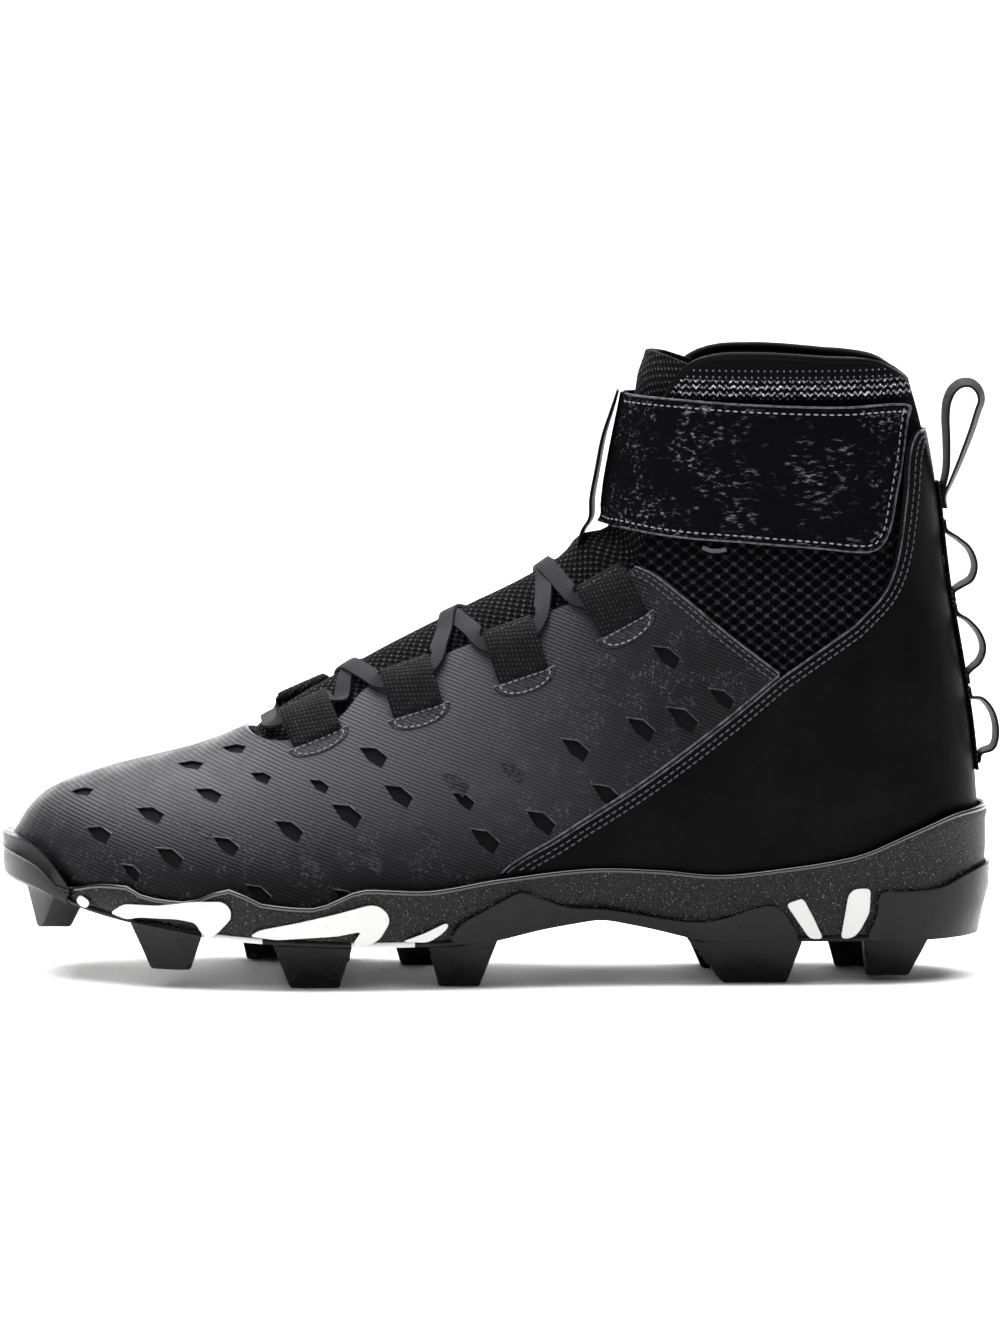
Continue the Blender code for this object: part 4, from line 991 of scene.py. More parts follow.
def knit_material():
    # Spacer mesh: open lattice, coarser low down, its strands and crossings flecked with painted highlights
    # that fade out upwards; a bright knitted row and a perforated smooth band above the strap
    made, tree = new_material("spacer_mesh", "0a0a0b", 0.9, Specular_IOR_Level=0.01)
    vector, x, z = solid_place(tree)
    first = ribs(tree, x, z, 3.0, 52.0)
    second = ribs(tree, x, z, 3.0, -52.0)
    strand = node(tree, "Math", first, second, operation="MAXIMUM")
    crossing = node(tree, "Math", first, second, **TIMES)
    mesh = node(tree, "MapRange", strand, 0.62, 0.88, **EASED)
    dots = node(tree, "MapRange", crossing, 0.35, 0.8, **EASED)
    fuzz = speckle(tree, vector, 0.7, 0.40, 0.66)
    # Painted highlights: light flecks on the strands and crossings, strongest low down and fading out by 150
    # mm up
    low = node(tree, "MapRange", z, 150.0, 112.0, **EASED)
    strand_glint_flecks = node(tree, "Math", fuzz, 0.75, 0.1, **TIMES_PLUS)
    lit = node(tree, "Math", strand_glint_flecks, low, **TIMES)
    strands = node(tree, "Mix", {0: lit, 6: "040405", 7: "19191b"}, **COLOURS)
    lit_dots = node(tree, "Math", dots, lit, **TIMES)
    dotted = node(tree, "Mix", {0: lit_dots, 6: strands, 7: "3a3a3d"}, **COLOURS)
    body = node(tree, "Mix", {0: mesh, 6: "030303", 7: dotted}, **COLOURS)
    # The bright knitted row just over the strap
    uneven = node(tree, "TexNoise", {"Vector": vector, "Scale": 1 / 2.2, "Detail": 2.0})
    pushed = node(tree, "Math", uneven, 1.6, x, **TIMES_PLUS)
    turned = node(tree, "Math", pushed, 1.0, operation="PINGPONG")
    wavy = node(tree, "Math", turned, z, operation="ADD")
    chain = node(tree, "MapRange", ribs(tree, wavy, x, 2.0, 0.0), 0.6, 0.95, **EASED)
    bright = node(tree, "Math", chain, fuzz, **TIMES)
    above = node(tree, "MapRange", z, 174.3, 175.3, **EASED)
    below = node(tree, "MapRange", z, 180.6, 179.6, **EASED)
    banded = node(tree, "Mix", {0: bright, 6: "070708", 7: "c8c8cc"}, **COLOURS)
    row = node(tree, "Math", above, below, **TIMES)
    colour = node(tree, "Mix", {0: row, 6: body, 7: banded}, **COLOURS)
    # Small light dots in the smooth band over it
    over = node(tree, "MapRange", z, 179.8, 180.6, **EASED)
    prick = node(tree, "Math", ribs(tree, x, z, 1.9, 0.0), ribs(tree, z, x, 1.9, 0.0), **TIMES)
    holes = node(tree, "MapRange", prick, 0.72, 0.9, **EASED)
    ended = node(tree, "MapRange", z, 184.2, 183.4, **EASED)
    kept = node(tree, "Math", holes, ended, **TIMES)
    seen = node(tree, "Math", kept, 0.45, **TIMES)
    smooth_band = node(tree, "Mix", {0: seen, 6: "0b0b0c", 7: "8d8d90"}, **COLOURS)
    bright_row = node(tree, "Math", bright, row, **TIMES)
    tall = node(tree, "Math", mesh, bright_row, operation="MAXIMUM")
    height = node(tree, "Mix", {0: over, 2: tall, 3: seen}, data_type="FLOAT")
    join_patterns(tree, (over, colour, smooth_band), None, height, 0.5 * MM, 0.9)
    return made


def tongue_material():
    # Open tongue mesh with light grey dots where the strands cross
    made, tree = new_material("tongue_mesh", "0a0a0b", 0.85, Specular_IOR_Level=0.05)
    vector, u, v = cloth_place(tree)
    first = ribs(tree, u, v, 1.9, 42.0)
    second = ribs(tree, u, v, 1.9, -42.0)
    strand = node(tree, "Math", first, second, operation="MAXIMUM")
    crossing = node(tree, "Math", first, second, **TIMES)
    fuzz = speckle(tree, vector, 0.6, 0.42, 0.66)
    dots = node(tree, "MapRange", crossing, 0.5, 0.85, **EASED)
    light = node(tree, "Math", dots, fuzz, **TIMES)
    mesh = node(tree, "MapRange", strand, 0.5, 0.9, **EASED)
    base = node(tree, "Mix", {0: mesh, 6: "020202", 7: "0e0e0f"}, **COLOURS)
    height = node(tree, "Math", strand, light, operation="ADD")
    join_patterns(tree, (light, base, "6a6a6d"), None, height, 0.35 * MM, 0.9)
    return made


def strap_material():
    # Brushed loop cloth: black, with short slanting streaks of lifted nap
    made, tree = new_material("brushed_loop_cloth", "050506", 0.9, Specular_IOR_Level=0.01)
    vector = solid_place(tree)[0]
    drawn = node(tree, "Mapping", {"Vector": vector, "Rotation": (0.0, 0.4, 0.0), "Scale": (0.32, 1.0, 1.1)})
    streaks = node(tree, "TexNoise", {"Vector": drawn, "Scale": 1 / 1.1, "Detail": 3.0, "Roughness": 0.6})
    lines = node(tree, "MapRange", streaks, 0.54, 0.68, **EASED)
    lifted = node(tree, "Math", lines, speckle(tree, vector, 13.0, 0.42, 0.60), **TIMES)
    height = node(tree, "Math", streaks, lifted, operation="ADD")
    join_patterns(tree, (lifted, "08080a", "5a5a5e"), None, height, 0.4 * MM, 0.9)
    return made


def webbing_material():
    # Woven nylon webbing: ribs across with small staggered floats that catch the light
    made, tree = new_material("woven_webbing", "0c0c0d", 0.7, Specular_IOR_Level=0.08)
    vector, u, v = cloth_place(tree)
    woven = node(tree, "Math", ribs(tree, u, v, 1.15, 0.0), ribs(tree, v, u, 1.35, 18.0), **TIMES)
    fuzz = speckle(tree, vector, 0.8, 0.40, 0.64)
    floats = node(tree, "MapRange", woven, 0.3, 0.85, **EASED)
    light = node(tree, "Math", floats, fuzz, **TIMES)
    join_patterns(tree, (light, "060607", "313134"), None, woven, 0.35 * MM, 0.9)
    return made


def ribbon_material():
    # Narrow satin ribbon of the heel loops and keeper
    made, tree = new_material("satin_ribbon", "040405", 0.5, Specular_IOR_Level=0.12)
    u, v = cloth_place(tree)[1:]
    fine = ribs(tree, v, u, 0.6, 0.0)
    join_patterns(tree, (fine, "030304", "0a0a0b"), None, fine)
    return made


def lace_material():
    # Flat smooth grey lace with fine lengthwise ribs
    made, tree = new_material("flat_lace", "242426", 0.6, Specular_IOR_Level=0.1)
    u, v = cloth_place(tree)[1:]
    woven = node(tree, "Math", ribs(tree, u, v, 0.8, 0.0), ribs(tree, v, u, 0.9, 30.0), **TIMES)
    join_patterns(tree, (woven, "161618", "2b2b2d"), None, woven, 0.12 * MM)
    return made


def stipple_material():
    # Moulded rubber sidewall: a fine irregular stipple whose grains glint
    made, tree = new_material("stippled_rubber", "0a0a0b", 0.45, Specular_IOR_Level=0.18)
    vector = solid_place(tree)[0]
    cells = node(tree, "TexVoronoi", {"Vector": vector, "Scale": 1 / 0.8})
    grains = node(tree, "MapRange", cells, 0.5, 0.12, **EASED)
    lit = node(tree, "Math", grains, speckle(tree, vector, 0.5, 0.46, 0.62), **TIMES)
    height = node(tree, "Math", grains, lit, operation="ADD")
    join_patterns(tree, (lit, "080809", "7c7c80"), None, height, 0.3 * MM, 0.9)
    return made


def lip_material():
    # The smooth bright bead along the sidewall's top edge
    made, tree = new_material("gloss_lip", "0a0a0b", 0.2, Coat_Weight=0.5, Coat_Roughness=0.12)
    vector = solid_place(tree)[0]
    join_patterns(tree, height=speckle(tree, vector, 5.0, 0.2, 0.8), depth=0.08 * MM, strength=0.4)
    return made


def lug_material():
    # Smooth injection-moulded plastic of lugs, pods and toe bumper: satin gloss, faint haze
    made, tree = new_material("moulded_plastic", "080809", 0.32, Specular_IOR_Level=0.16)
    vector = solid_place(tree)[0]
    haze = speckle(tree, vector, 8.0, 0.3, 0.7)
    rough = node(tree, "Math", haze, 0.14, 0.24, **TIMES_PLUS)
    grain = speckle(tree, vector, 0.4, 0.2, 0.8)
    join_patterns(tree, (haze, "0b0b0c", "121213"), rough, grain, 0.03 * MM, 0.5, 0.6 * MM)
    return made


def white_material():
    # White moulded accents, matt, very slightly scuffed
    made, tree = new_material("white_plastic", "c6c6c6", 0.5)
    vector = solid_place(tree)[0]
    scuff = node(tree, "Math", speckle(tree, vector, 3.0, 0.58, 0.74), 0.3, **TIMES)
    grain = speckle(tree, vector, 0.6, 0.2, 0.8)
    join_patterns(tree, (scuff, "c6c6c5", "a8a8a7"), None, grain, 0.03 * MM, 0.5, 0.4 * MM)
    return made


def sewing_thread(name, colour):
    # Twisted polyester sewing thread
    made, tree = new_material(name, colour, 0.6, Specular_IOR_Level=0.3)
    x, z = solid_place(tree)[1:]
    join_patterns(tree, height=ribs(tree, x, z, 0.4, 40.0), depth=0.06 * MM)
    return made


def piping_material():
    # Folded cut edge that catches the light along the seams
    made, tree = new_material("folded_edge", "2a2a2c", 0.34, Specular_IOR_Level=0.3)
    worn = speckle(tree, solid_place(tree)[0], 2.0, 0.3, 0.65)
    join_patterns(tree, (worn, "121213", "48484b"), None, worn, 0.08 * MM)
    return made


def lining_material():
    # Soft black knitted lining and sock liner cloth
    made, tree = new_material("lining_cloth", "080809", 0.9, Specular_IOR_Level=0.04)
    x, z = solid_place(tree)[1:]
    weave = node(tree, "Math", ribs(tree, x, z, 1.3, 40.0), ribs(tree, x, z, 1.3, -40.0), **TIMES)
    join_patterns(tree, (weave, "040405", "0e0e0f"), None, weave, 0.2 * MM)
    return made


FINISHES = {
    "vamp": vamp_material(), "dimple": dimple_shade_material(), "quarter": quarter_material(),
    "knit": knit_material(), "tongue": tongue_material(), "strap": strap_material(),
    "webbing": webbing_material(), "ribbon": ribbon_material(), "lace": lace_material(),
    "stipple": stipple_material(), "lip": lip_material(), "lug": lug_material(),
    "white": white_material(), "thread": sewing_thread("light_thread", "77777a"),
    "dark_thread": sewing_thread("grey_thread", "3e3e41"), "piping": piping_material(),
    "lining": lining_material(), "patch": patch_material(),
}


def face_outwards(bm):
    bm.normal_update()
    bmesh.ops.recalc_face_normals(bm, faces=bm.faces)


def add_mesh(name, bm, finish=None):
    """An object from a bmesh: a piece when it has a finish, else a cutter."""
    bmesh.ops.remove_doubles(bm, verts=bm.verts, dist=1e-7)
    mesh = bpy.data.meshes.new(name)
    bm.to_mesh(mesh)
    bm.free()
    made = bpy.data.objects.new(name, mesh)
    bpy.context.scene.collection.objects.link(made)
    if finish:
        mesh.materials.append(FINISHES[finish])
    else:
        made.hide_render = True
        CUTTERS.append(made)
    return made


def carve(made, cutter, operation):
    """Applies one exact boolean straight away."""
    step = made.modifiers.new("Cut", "BOOLEAN")
    step.operation = operation
    step.object = cutter
    step.solver = "EXACT"
    step.material_mode = "TRANSFER"
    bpy.context.view_layer.update()
    result = made.evaluated_get(bpy.context.evaluated_depsgraph_get())
    mesh = bpy.data.meshes.new_from_object(result)
    made.modifiers.clear()
    made.data = mesh


def settle(made, *nodes, degrees=32.0):
    """The piece is smooth up to an angle, rides on the shoe and stands for its nodes."""
    if degrees:
        made.data.shade_smooth()
        made.data.set_sharp_from_angle(angle=math.radians(degrees))
    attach(made, "root")
    if nodes:
        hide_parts(*nodes)


def flowing(points, steps=5):
    """A smooth line through flat points."""
    ends = [tuple(2 * a - b for a, b in zip(points[0], points[1]))]
    tail = [tuple(2 * a - b for a, b in zip(points[-1], points[-2]))]
    knots = [np.array(p, float) for p in ends + list(points) + tail]
    line = []
    for i in range(1, len(knots) - 2):
        before, here, after, later = knots[i - 1:i + 3]
        gaps = [math.sqrt(np.linalg.norm(q - p)) or 1e-9 for p, q in
                ((before, here), (here, after), (after, later))]
        t0, t1 = 0.0, gaps[0]
        t2 = t1 + gaps[1]
        t3 = t2 + gaps[2]
        for k in range(steps):
            t = t1 + (t2 - t1) * k / steps
            a1 = (t1 - t) / (t1 - t0) * before + (t - t0) / (t1 - t0) * here
            a2 = (t2 - t) / (t2 - t1) * here + (t - t1) / (t2 - t1) * after
            a3 = (t3 - t) / (t3 - t2) * after + (t - t2) / (t3 - t2) * later
            b1 = (t2 - t) / (t2 - t0) * a1 + (t - t0) / (t2 - t0) * a2
            b2 = (t3 - t) / (t3 - t1) * a2 + (t - t1) / (t3 - t1) * a3
            line.append(tuple((t2 - t) / (t2 - t1) * b1 + (t - t1) / (t2 - t1) * b2))
    line.append(tuple(knots[-2]))
    return line


def rounded(points, radius, steps=4):
    """A closed flat outline with its corners rounded."""
    line = []
    count = len(points)
    for i in range(count):
        here = np.array(points[i])
        before = np.array(points[i - 1]) - here
        after = np.array(points[(i + 1) % count]) - here
        first = here + before * min(0.46, radius / np.linalg.norm(before))
        last = here + after * min(0.46, radius / np.linalg.norm(after))
        for k in range(steps + 1):
            t = k / steps
            line.append(tuple((1 - t) ** 2 * first + 2 * t * (1 - t) * here + t ** 2 * last))
    return line


def join_rings(bm, rings, closed=False, ends=()):
    """Faces between closed rings of vertices, and over the rings given as ends."""
    made = []
    for here, after in zip(rings, rings[1:] + rings[:1] if closed else rings[1:]):
        for k in range(len(here)):
            later = (k + 1) % len(here)
            made.append(bm.faces.new((here[k], here[later], after[later], after[k])))
    return made + [bm.faces.new(ring) for ring in ends]


# Creases, soft ridges and padding of the upper:
# along, rise, spread along, spread up, height in millimetres
CREASES = (
    (0.690, 0.560, 0.050, 0.030, -0.8),
    (0.800, 0.600, 0.060, 0.030, -0.5),
    (0.840, 0.520, 0.030, 0.060, 0.5),
    (0.780, 0.960, 0.180, 0.022, 0.8),
    (0.250, 0.220, 0.022, 0.120, -0.5),
    (0.330, 0.200, 0.022, 0.140, -0.5),
    (0.290, 0.200, 0.020, 0.140, 0.3),
    (0.600, 0.300, 0.050, 0.090, 0.3),
    (0.597, 0.655, 0.022, 0.028, 3.2),
)


def relief(x, z):
    """Extra height of the skin at a point, for every layer alike."""
    share = (x - TOE_X) / LAST_LENGTH
    rise = (z - BALL_BED) / UPPER_HEIGHT
    grown = 0.0
    for at, up, wide, tall, depth in CREASES:
        across = ((share - at) / wide) ** 2 + ((rise - up) / tall) ** 2
        grown += depth * MM * math.exp(-across)
    return grown


SMOOTHING = 24
SMOOTHED_ROWS = 14


def skin_grid(offset):
    """The upper's surface as rows of points, with its soft relief and a rounded heel."""
    across = np.linspace(0, 1, ACROSS_STEPS + 1)
    rows = last_grid(offset)
    for place, row in zip(fan_places(), rows):
        inner = last_row(place, across, offset - MM)
        for j in range(len(row)):
            lift = relief(row[j][0], row[j][2])
            row[j] = row[j] + (row[j] - inner[j]) * lift / MM
    for _ in range(SMOOTHING):
        before = [row.copy() for row in rows]
        for i in range(TOE_TO_HEEL_STEPS - SMOOTHED_ROWS, TOE_TO_HEEL_STEPS + SMOOTHED_ROWS):
            rows[i] = (before[i - 1] + 2 * before[i] + before[i + 1]) / 4
    return rows


def skin_lengths(rows):
    """Lengths along each column and across each row, for the cloth patterns."""
    rows = np.array(rows)
    along_columns = np.concatenate((np.zeros((1, rows.shape[1])),
                                    np.cumsum(np.linalg.norm(np.diff(rows, axis=0), axis=2), axis=0)))
    steps = np.linalg.norm(np.diff(rows, axis=1), axis=2)
    over_rows = np.concatenate((np.zeros((rows.shape[0], 1)), np.cumsum(steps, axis=1)), axis=1)
    middle = rows.shape[1] // 2
    return along_columns, over_rows - over_rows[:, middle:middle + 1]


# How far the padded tongue swells through the throat: share along, and height
TONGUE_SWELL = (
    (0.235, 0.0), (0.265, 3.2 * MM), (0.310, 4.2 * MM), (0.400, 4.2 * MM), (0.480, 3.8 * MM),
    (0.550, 2.4 * MM), (0.600, 0.9 * MM), (0.650, 0.0),
)
SWELL_REACH = 0.105
# Height of a lace's middle over the padding that it presses into
LACE_PRESSED = 0.2 * MM


def swell(x, across):
    """Height that the tongue's padding adds at an X and a share across the upper."""
    share = (x - TOE_X) / LAST_LENGTH
    height = float(np.interp(share, column(TONGUE_SWELL, 0), column(TONGUE_SWELL, 1)))
    aside = min(1.0, abs(across - 0.5) / SWELL_REACH)
    return height * (1 + math.cos(math.pi * aside)) / 2


def padded(rows, under):
    """Rows of the tongue's outer face, swollen outwards from the rows under them."""
    made = []
    for row, deep in zip(rows, under):
        across = np.linspace(0, 1, len(row))
        lifts = np.array([swell(point[0], share) for point, share in zip(row, across)])
        outward = (row - deep) / np.linalg.norm(row - deep, axis=1)[:, None]
        made.append(row + outward * lifts[:, None])
    return made


def shell(name, outer, wall, finish, swollen=False):
    """A fine wall that follows the upper's surface, with its cloth lengths as a UV map."""
    bm = bmesh.new()
    skin = bm.loops.layers.uv.new("skin")
    outer_rows = skin_grid(outer)
    inner_rows = skin_grid(outer - wall)
    if swollen:
        outer_rows = padded(outer_rows, inner_rows)
    lengths, widths = skin_lengths(outer_rows)
    where = {}

    def placed(rows):
        made = []
        for i, row in enumerate(rows):
            line = []
            for j, point in enumerate(row):
                vert = bm.verts.new(point)
                where[vert] = (lengths[i][j], widths[i][j])
                line.append(vert)
            made.append(line)
        return made

    outside = placed(outer_rows)
    inside = placed(inner_rows)

    def face(*corners):
        made = bm.faces.new(corners)
        for loop in made.loops:
            loop[skin].uv = where[loop.vert]

    for rows, outward in ((outside, True), (inside, False)):
        for lower, higher in zip(rows, rows[1:]):
            for j in range(ACROSS_STEPS):
                corners = (lower[j], higher[j], higher[j + 1], lower[j + 1])
                face(*(corners if outward else corners[::-1]))
    for j in range(ACROSS_STEPS):
        face(outside[0][j], outside[0][j + 1], inside[0][j + 1], inside[0][j])
        face(outside[-1][j + 1], outside[-1][j], inside[-1][j], inside[-1][j + 1])
    for i in range(TOE_TO_HEEL_STEPS):
        face(outside[i + 1][0], outside[i][0], inside[i][0], inside[i + 1][0])
        face(outside[i][-1], outside[i + 1][-1], inside[i + 1][-1], inside[i][-1])
    return add_mesh(name, bm, finish)


def skin_tree():
    """The upper's bare surface, to place small things on it."""
    rows = skin_grid(0.0)
    points = [tuple(point) for row in rows for point in row]
    wide = ACROSS_STEPS + 1
    faces = []
    for i in range(len(rows) - 1):
        for j in range(ACROSS_STEPS):
            a = i * wide + j
            faces.append((a, a + wide, a + wide + 1, a + 1))
    return BVHTree.FromPolygons(points, faces)


SKIN = skin_tree()


# How far aside a ray to the skin starts
RAY_START = 0.12


def on_skin(x, z, side, lift=0.0):
    """A point over the upper's skin at an X and Z, on one side (-1 lateral), with its normal."""
    hit, normal = SKIN.ray_cast((x, side * RAY_START, z), (0.0, -side, 0.0))[:2]
    if hit is None:
        return None, None
    if normal.y * side < 0:
        normal = -normal
    return np.array(hit) + np.array(normal) * lift, np.array(normal)


def prism(name, outline, near, far, finish=None):
    """A flat outline of X and Z pairs, from y = near to y = far."""
    bm = bmesh.new()
    face = bm.faces.new([bm.verts.new((x, near, z)) for x, z in outline])
    grown = bmesh.ops.extrude_face_region(bm, geom=[face])
    moved = [item for item in grown["geom"] if isinstance(item, bmesh.types.BMVert)]
    bmesh.ops.translate(bm, verts=moved, vec=(0.0, far - near, 0.0))
    face_outwards(bm)
    return add_mesh(name, bm, finish)


FAR = 0.09


def full_prism(name, outline):
    return prism(name, outline, -FAR, FAR)


# Corners of the panels' outlines that lie off the upper, as along and rise shares
ROOF = ((0.99, 1.15), (0.18, 1.15))
VAMP_FRONT = ((-0.08, 0.45), (-0.08, -0.08))
QUARTER_BACK = ((1.06, 0.80), (1.06, -0.08))
TONGUE_ROOT = ((0.20, 0.50), (0.20, 0.24))
# Faces that look to the middle of the shaft, below the collar's edge, are lining
SHAFT_MIDDLE = (0.79, 0.75)
LINED_BELOW = 0.985


def build_upper():
    """Knitted boot, the two panels over it, tongue and strap."""
    edge = upper_outline(THROAT_EDGE)
    throat = full_prism("throat_cutter", flowing(edge) + upper_outline(ROOF))
    upper = shell("upper_shell", 0.0, UPPER_WALL, "knit")
    carve(upper, throat, "DIFFERENCE")
    upper.data.materials.append(FINISHES["lining"])
    middle = np.array((along(SHAFT_MIDDLE[0]), 0.0, upper_height(SHAFT_MIDDLE[1])))
    for face in upper.data.polygons:
        inward = np.dot(np.array(face.normal), middle - np.array(face.center)) > 0
        if inward and face.center.z < upper_height(LINED_BELOW):
            face.material_index = 1
    settle(upper, "upper")

    seam = flowing(upper_outline(QUARTER_SEAM))
    stay = [(x - FIT, z - FIT) for x, z in reversed(flowing(edge[:EYESTAY_POINTS]))]
    rear = flowing(upper_outline(VAMP_REAR))
    vamp_shape = shifted(seam, -FIT, 0.0) + rear + stay + upper_outline(VAMP_FRONT)
    vamp = shell("vamp_panel", FIT + PANEL_WALL, PANEL_WALL, "vamp")
    carve(vamp, full_prism("vamp_outline", vamp_shape), "INTERSECT")
    cutter = kite_blocks("dimple_cutters", DIMPLES, -DIMPLE_DEPTH, KITE_SEAT)
    # The dimples' floors take the near-black painted shade
    cutter.data.materials.append(FINISHES["dimple"])
    carve(vamp, cutter, "DIFFERENCE")
    settle(vamp, "vamp")

    top = flowing(upper_outline(QUARTER_TOP))
    quarter_shape = shifted(seam, FIT, 0.0) + top + upper_outline(QUARTER_BACK)
    quarter = shell("quarter_panel", FIT + PANEL_WALL, PANEL_WALL, "quarter")
    carve(quarter, full_prism("quarter_outline", quarter_shape), "INTERSECT")
    settle(quarter, "heel_quarter")

    tongue_shape = (flowing(upper_outline(TONGUE_EDGE)) + flowing(upper_outline(TONGUE_TOP))
                    + upper_outline(TONGUE_ROOT))
    tongue = shell("tongue_pad", -UPPER_WALL - FIT, TONGUE_WALL, "tongue", True)
    carve(tongue, full_prism("tongue_outline", tongue_shape), "INTERSECT")
    settle(tongue, "tongue")

    rear = flowing(upper_outline(STRAP_EDGE[3:12]))
    strap_shape = upper_outline(STRAP_EDGE[:3]) + rear + upper_outline(STRAP_EDGE[12:])
    strap = shell("ankle_strap_band", FIT + STRAP_WALL, STRAP_WALL, "strap")
    carve(strap, full_prism("strap_outline", strap_shape), "INTERSECT")
    settle(strap, "ankle_strap", degrees=50.0)


# Kite dimple seen square on, in millimetres: right, up
KITE = ((-4.5, 3.3), (0.6, 2.6), (4.3, -0.8), (2.6, -4.4), (-1.7, -1.4))
DIMPLE_DEPTH = 0.8 * MM
KITE_SEAT = 1.2 * MM
# Spread of a kite at its floor, its brim and its bright edge
KITE_FLOOR = 0.9
KITE_BRIM = 1.08
KITE_EDGE = 1.06
KITE_EDGE_RADIUS = 0.16 * MM
PRINT_SEAT = 0.5 * MM
PRINT_HEIGHT = 0.12 * MM

# Dimples on the vamp as along and rise shares, the lighter kites, and the kites' sizes beside 1
DIMPLES = (
    (0.070, 0.220, 0.85), (0.090, 0.158, 0.95), (0.143, 0.192, 1.0), (0.164, 0.125, 0.95),
    (0.183, 0.268, 0.95), (0.203, 0.225, 0.95), (0.229, 0.296, 0.9), (0.258, 0.255, 0.75),
    (0.222, 0.145, 0.9), (0.256, 0.066, 0.85),
    (0.287, 0.172, 1.0), (0.347, 0.199, 1.05), (0.374, 0.296, 1.0), (0.400, 0.232, 1.0),
    (0.489, 0.157, 1.0), (0.547, 0.188, 1.0), (0.615, 0.233, 1.0), (0.583, 0.312, 0.95),
    (0.651, 0.348, 0.95), (0.678, 0.472, 0.95), (0.694, 0.365, 1.05), (0.735, 0.402, 0.85),
    (0.467, 0.224, 0.75), (0.372, 0.052, 0.7), (0.318, 0.245, 0.7), (0.125, 0.100, 0.7), (0.345, 0.060, 0.75),
)
LIGHT_KITES = (
    (0.370, 0.124, 1.0), (0.432, 0.162, 0.8), (0.306, 0.118, 0.8), (0.458, 0.252, 0.9), (0.602, 0.432, 0.85),
    (0.518, 0.272, 0.8), (0.196, 0.170, 0.7),
)


def kite_frame(share, rise, side):
    """Centre, rightward, upward and outward directions of a kite on the vamp's face."""
    centre, outward = on_skin(along(share), upper_height(rise), side, FIT + PANEL_WALL)
    right = unit(np.array((1.0, 0.0, 0.0)) - outward * outward[0])
    up = unit(np.cross(outward, right))
    if up[2] < 0:
        up = -up
    return centre, right, up, outward


def kite_blocks(name, rows, low, high, finish=None):
    """Kites as one mesh, each from a low to a high offset of the vamp's face."""
    bm = bmesh.new()
    for share, rise, size in rows:
        for side in (-1, 1):
            centre, right, up, outward = kite_frame(share, rise, side)
            rings = []
            for spread, offset in ((KITE_FLOOR, low), (KITE_BRIM, high)):
                middle = centre + outward * offset
                grown = spread * size * MM
                rings.append([bm.verts.new(middle + (right * a + up * b) * grown) for a, b in KITE])
            join_rings(bm, rings, ends=rings)
    face_outwards(bm)
    return add_mesh(name, bm, finish)


def build_kites():
    """Lighter kites laid on the vamp, and a thin tube along each dimple's upper edge whose light grey is a
    painted highlight.
    """
    settle(kite_blocks("light_kites", LIGHT_KITES, -PRINT_SEAT, PRINT_HEIGHT, "patch"), degrees=None)
    lines = []
    # Only the upper edges, where the light falls, carry the painted highlight
    for share, rise, size in DIMPLES:
        for side in (-1, 1):
            centre, right, up, outward = kite_frame(share, rise, side)
            lines.append([(centre + (right * a + up * b) * KITE_EDGE * size * MM, outward)
                          for a, b in KITE[:3]])
    tube("dimple_edge_highlights", lines, KITE_EDGE_RADIUS, "piping")


def perimeter_solid(name, profile, finish=None):
    """A solid swept round the sole: profile gives pairs of outward reach and height."""
    bm = bmesh.new()
    rings = []
    for share, x, y, out_x, out_y in STATIONS:
        ring = []
        for reach, z in profile(share, abs(out_y)):
            ring.append(bm.verts.new((x + reach * out_x, y + reach * out_y, z)))
        rings.append(ring)
    count = len(rings)
    levels = len(rings[0])
    for i in range(count):
        here = rings[i]
        after = rings[(i + 1) % count]
        for k in range(levels - 1):
            bm.faces.new((here[k], after[k], after[k + 1], here[k + 1]))
    half = count // 2
    for k in (0, levels - 1):
        for i in range(half):
            corners = [rings[i][k], rings[i + 1][k], rings[(count - i - 1) % count][k], rings[-i][k]]
            bm.faces.new(list(dict.fromkeys(corners)))
    face_outwards(bm)
    return add_mesh(name, bm, finish)


def last_room(offset, drop):
    """The closed room that the lasted upper takes, a little under its edge."""
    bm = bmesh.new()
    rows = [[bm.verts.new(point) for point in row] for row in last_grid(offset)]
    for lower, higher in zip(rows, rows[1:]):
        for j in range(ACROSS_STEPS):
            bm.faces.new((lower[j], higher[j], higher[j + 1], lower[j + 1]))

    def lowered(vert):
        return bm.verts.new((vert.co.x, vert.co.y, vert.co.z - drop))

    toe = rows[0]
    low_toe = [lowered(vert) for vert in toe]
    lateral = [low_toe[0]] + [lowered(row[0]) for row in rows[1:TOE_TO_HEEL_STEPS + 1]]
    medial = [low_toe[-1]] + [lowered(row[-1]) for row in rows[1:TOE_TO_HEEL_STEPS + 1]]
    for j in range(ACROSS_STEPS):
        bm.faces.new((toe[j], toe[j + 1], low_toe[j + 1], low_toe[j]))
    for i in range(TOE_TO_HEEL_STEPS):
        bm.faces.new((rows[i][0], lateral[i], lateral[i + 1], rows[i + 1][0]))
        bm.faces.new((rows[i][-1], rows[i + 1][-1], medial[i + 1], medial[i]))
        bm.faces.new((lateral[i], medial[i], medial[i + 1], lateral[i + 1]))
    for j in range(ACROSS_STEPS // 2 - 1):
        bm.faces.new((low_toe[j], low_toe[j + 1], low_toe[-2 - j], low_toe[-1 - j]))
    middle = ACROSS_STEPS // 2
    bm.faces.new((low_toe[middle - 1], low_toe[middle], low_toe[middle + 1]))
    bm.faces.new(rows[-1][:-1])
    bmesh.ops.remove_doubles(bm, verts=bm.verts, dist=1e-7)
    face_outwards(bm)
    return add_mesh("last_room", bm)


LUG_EDGE = 0.8 * MM


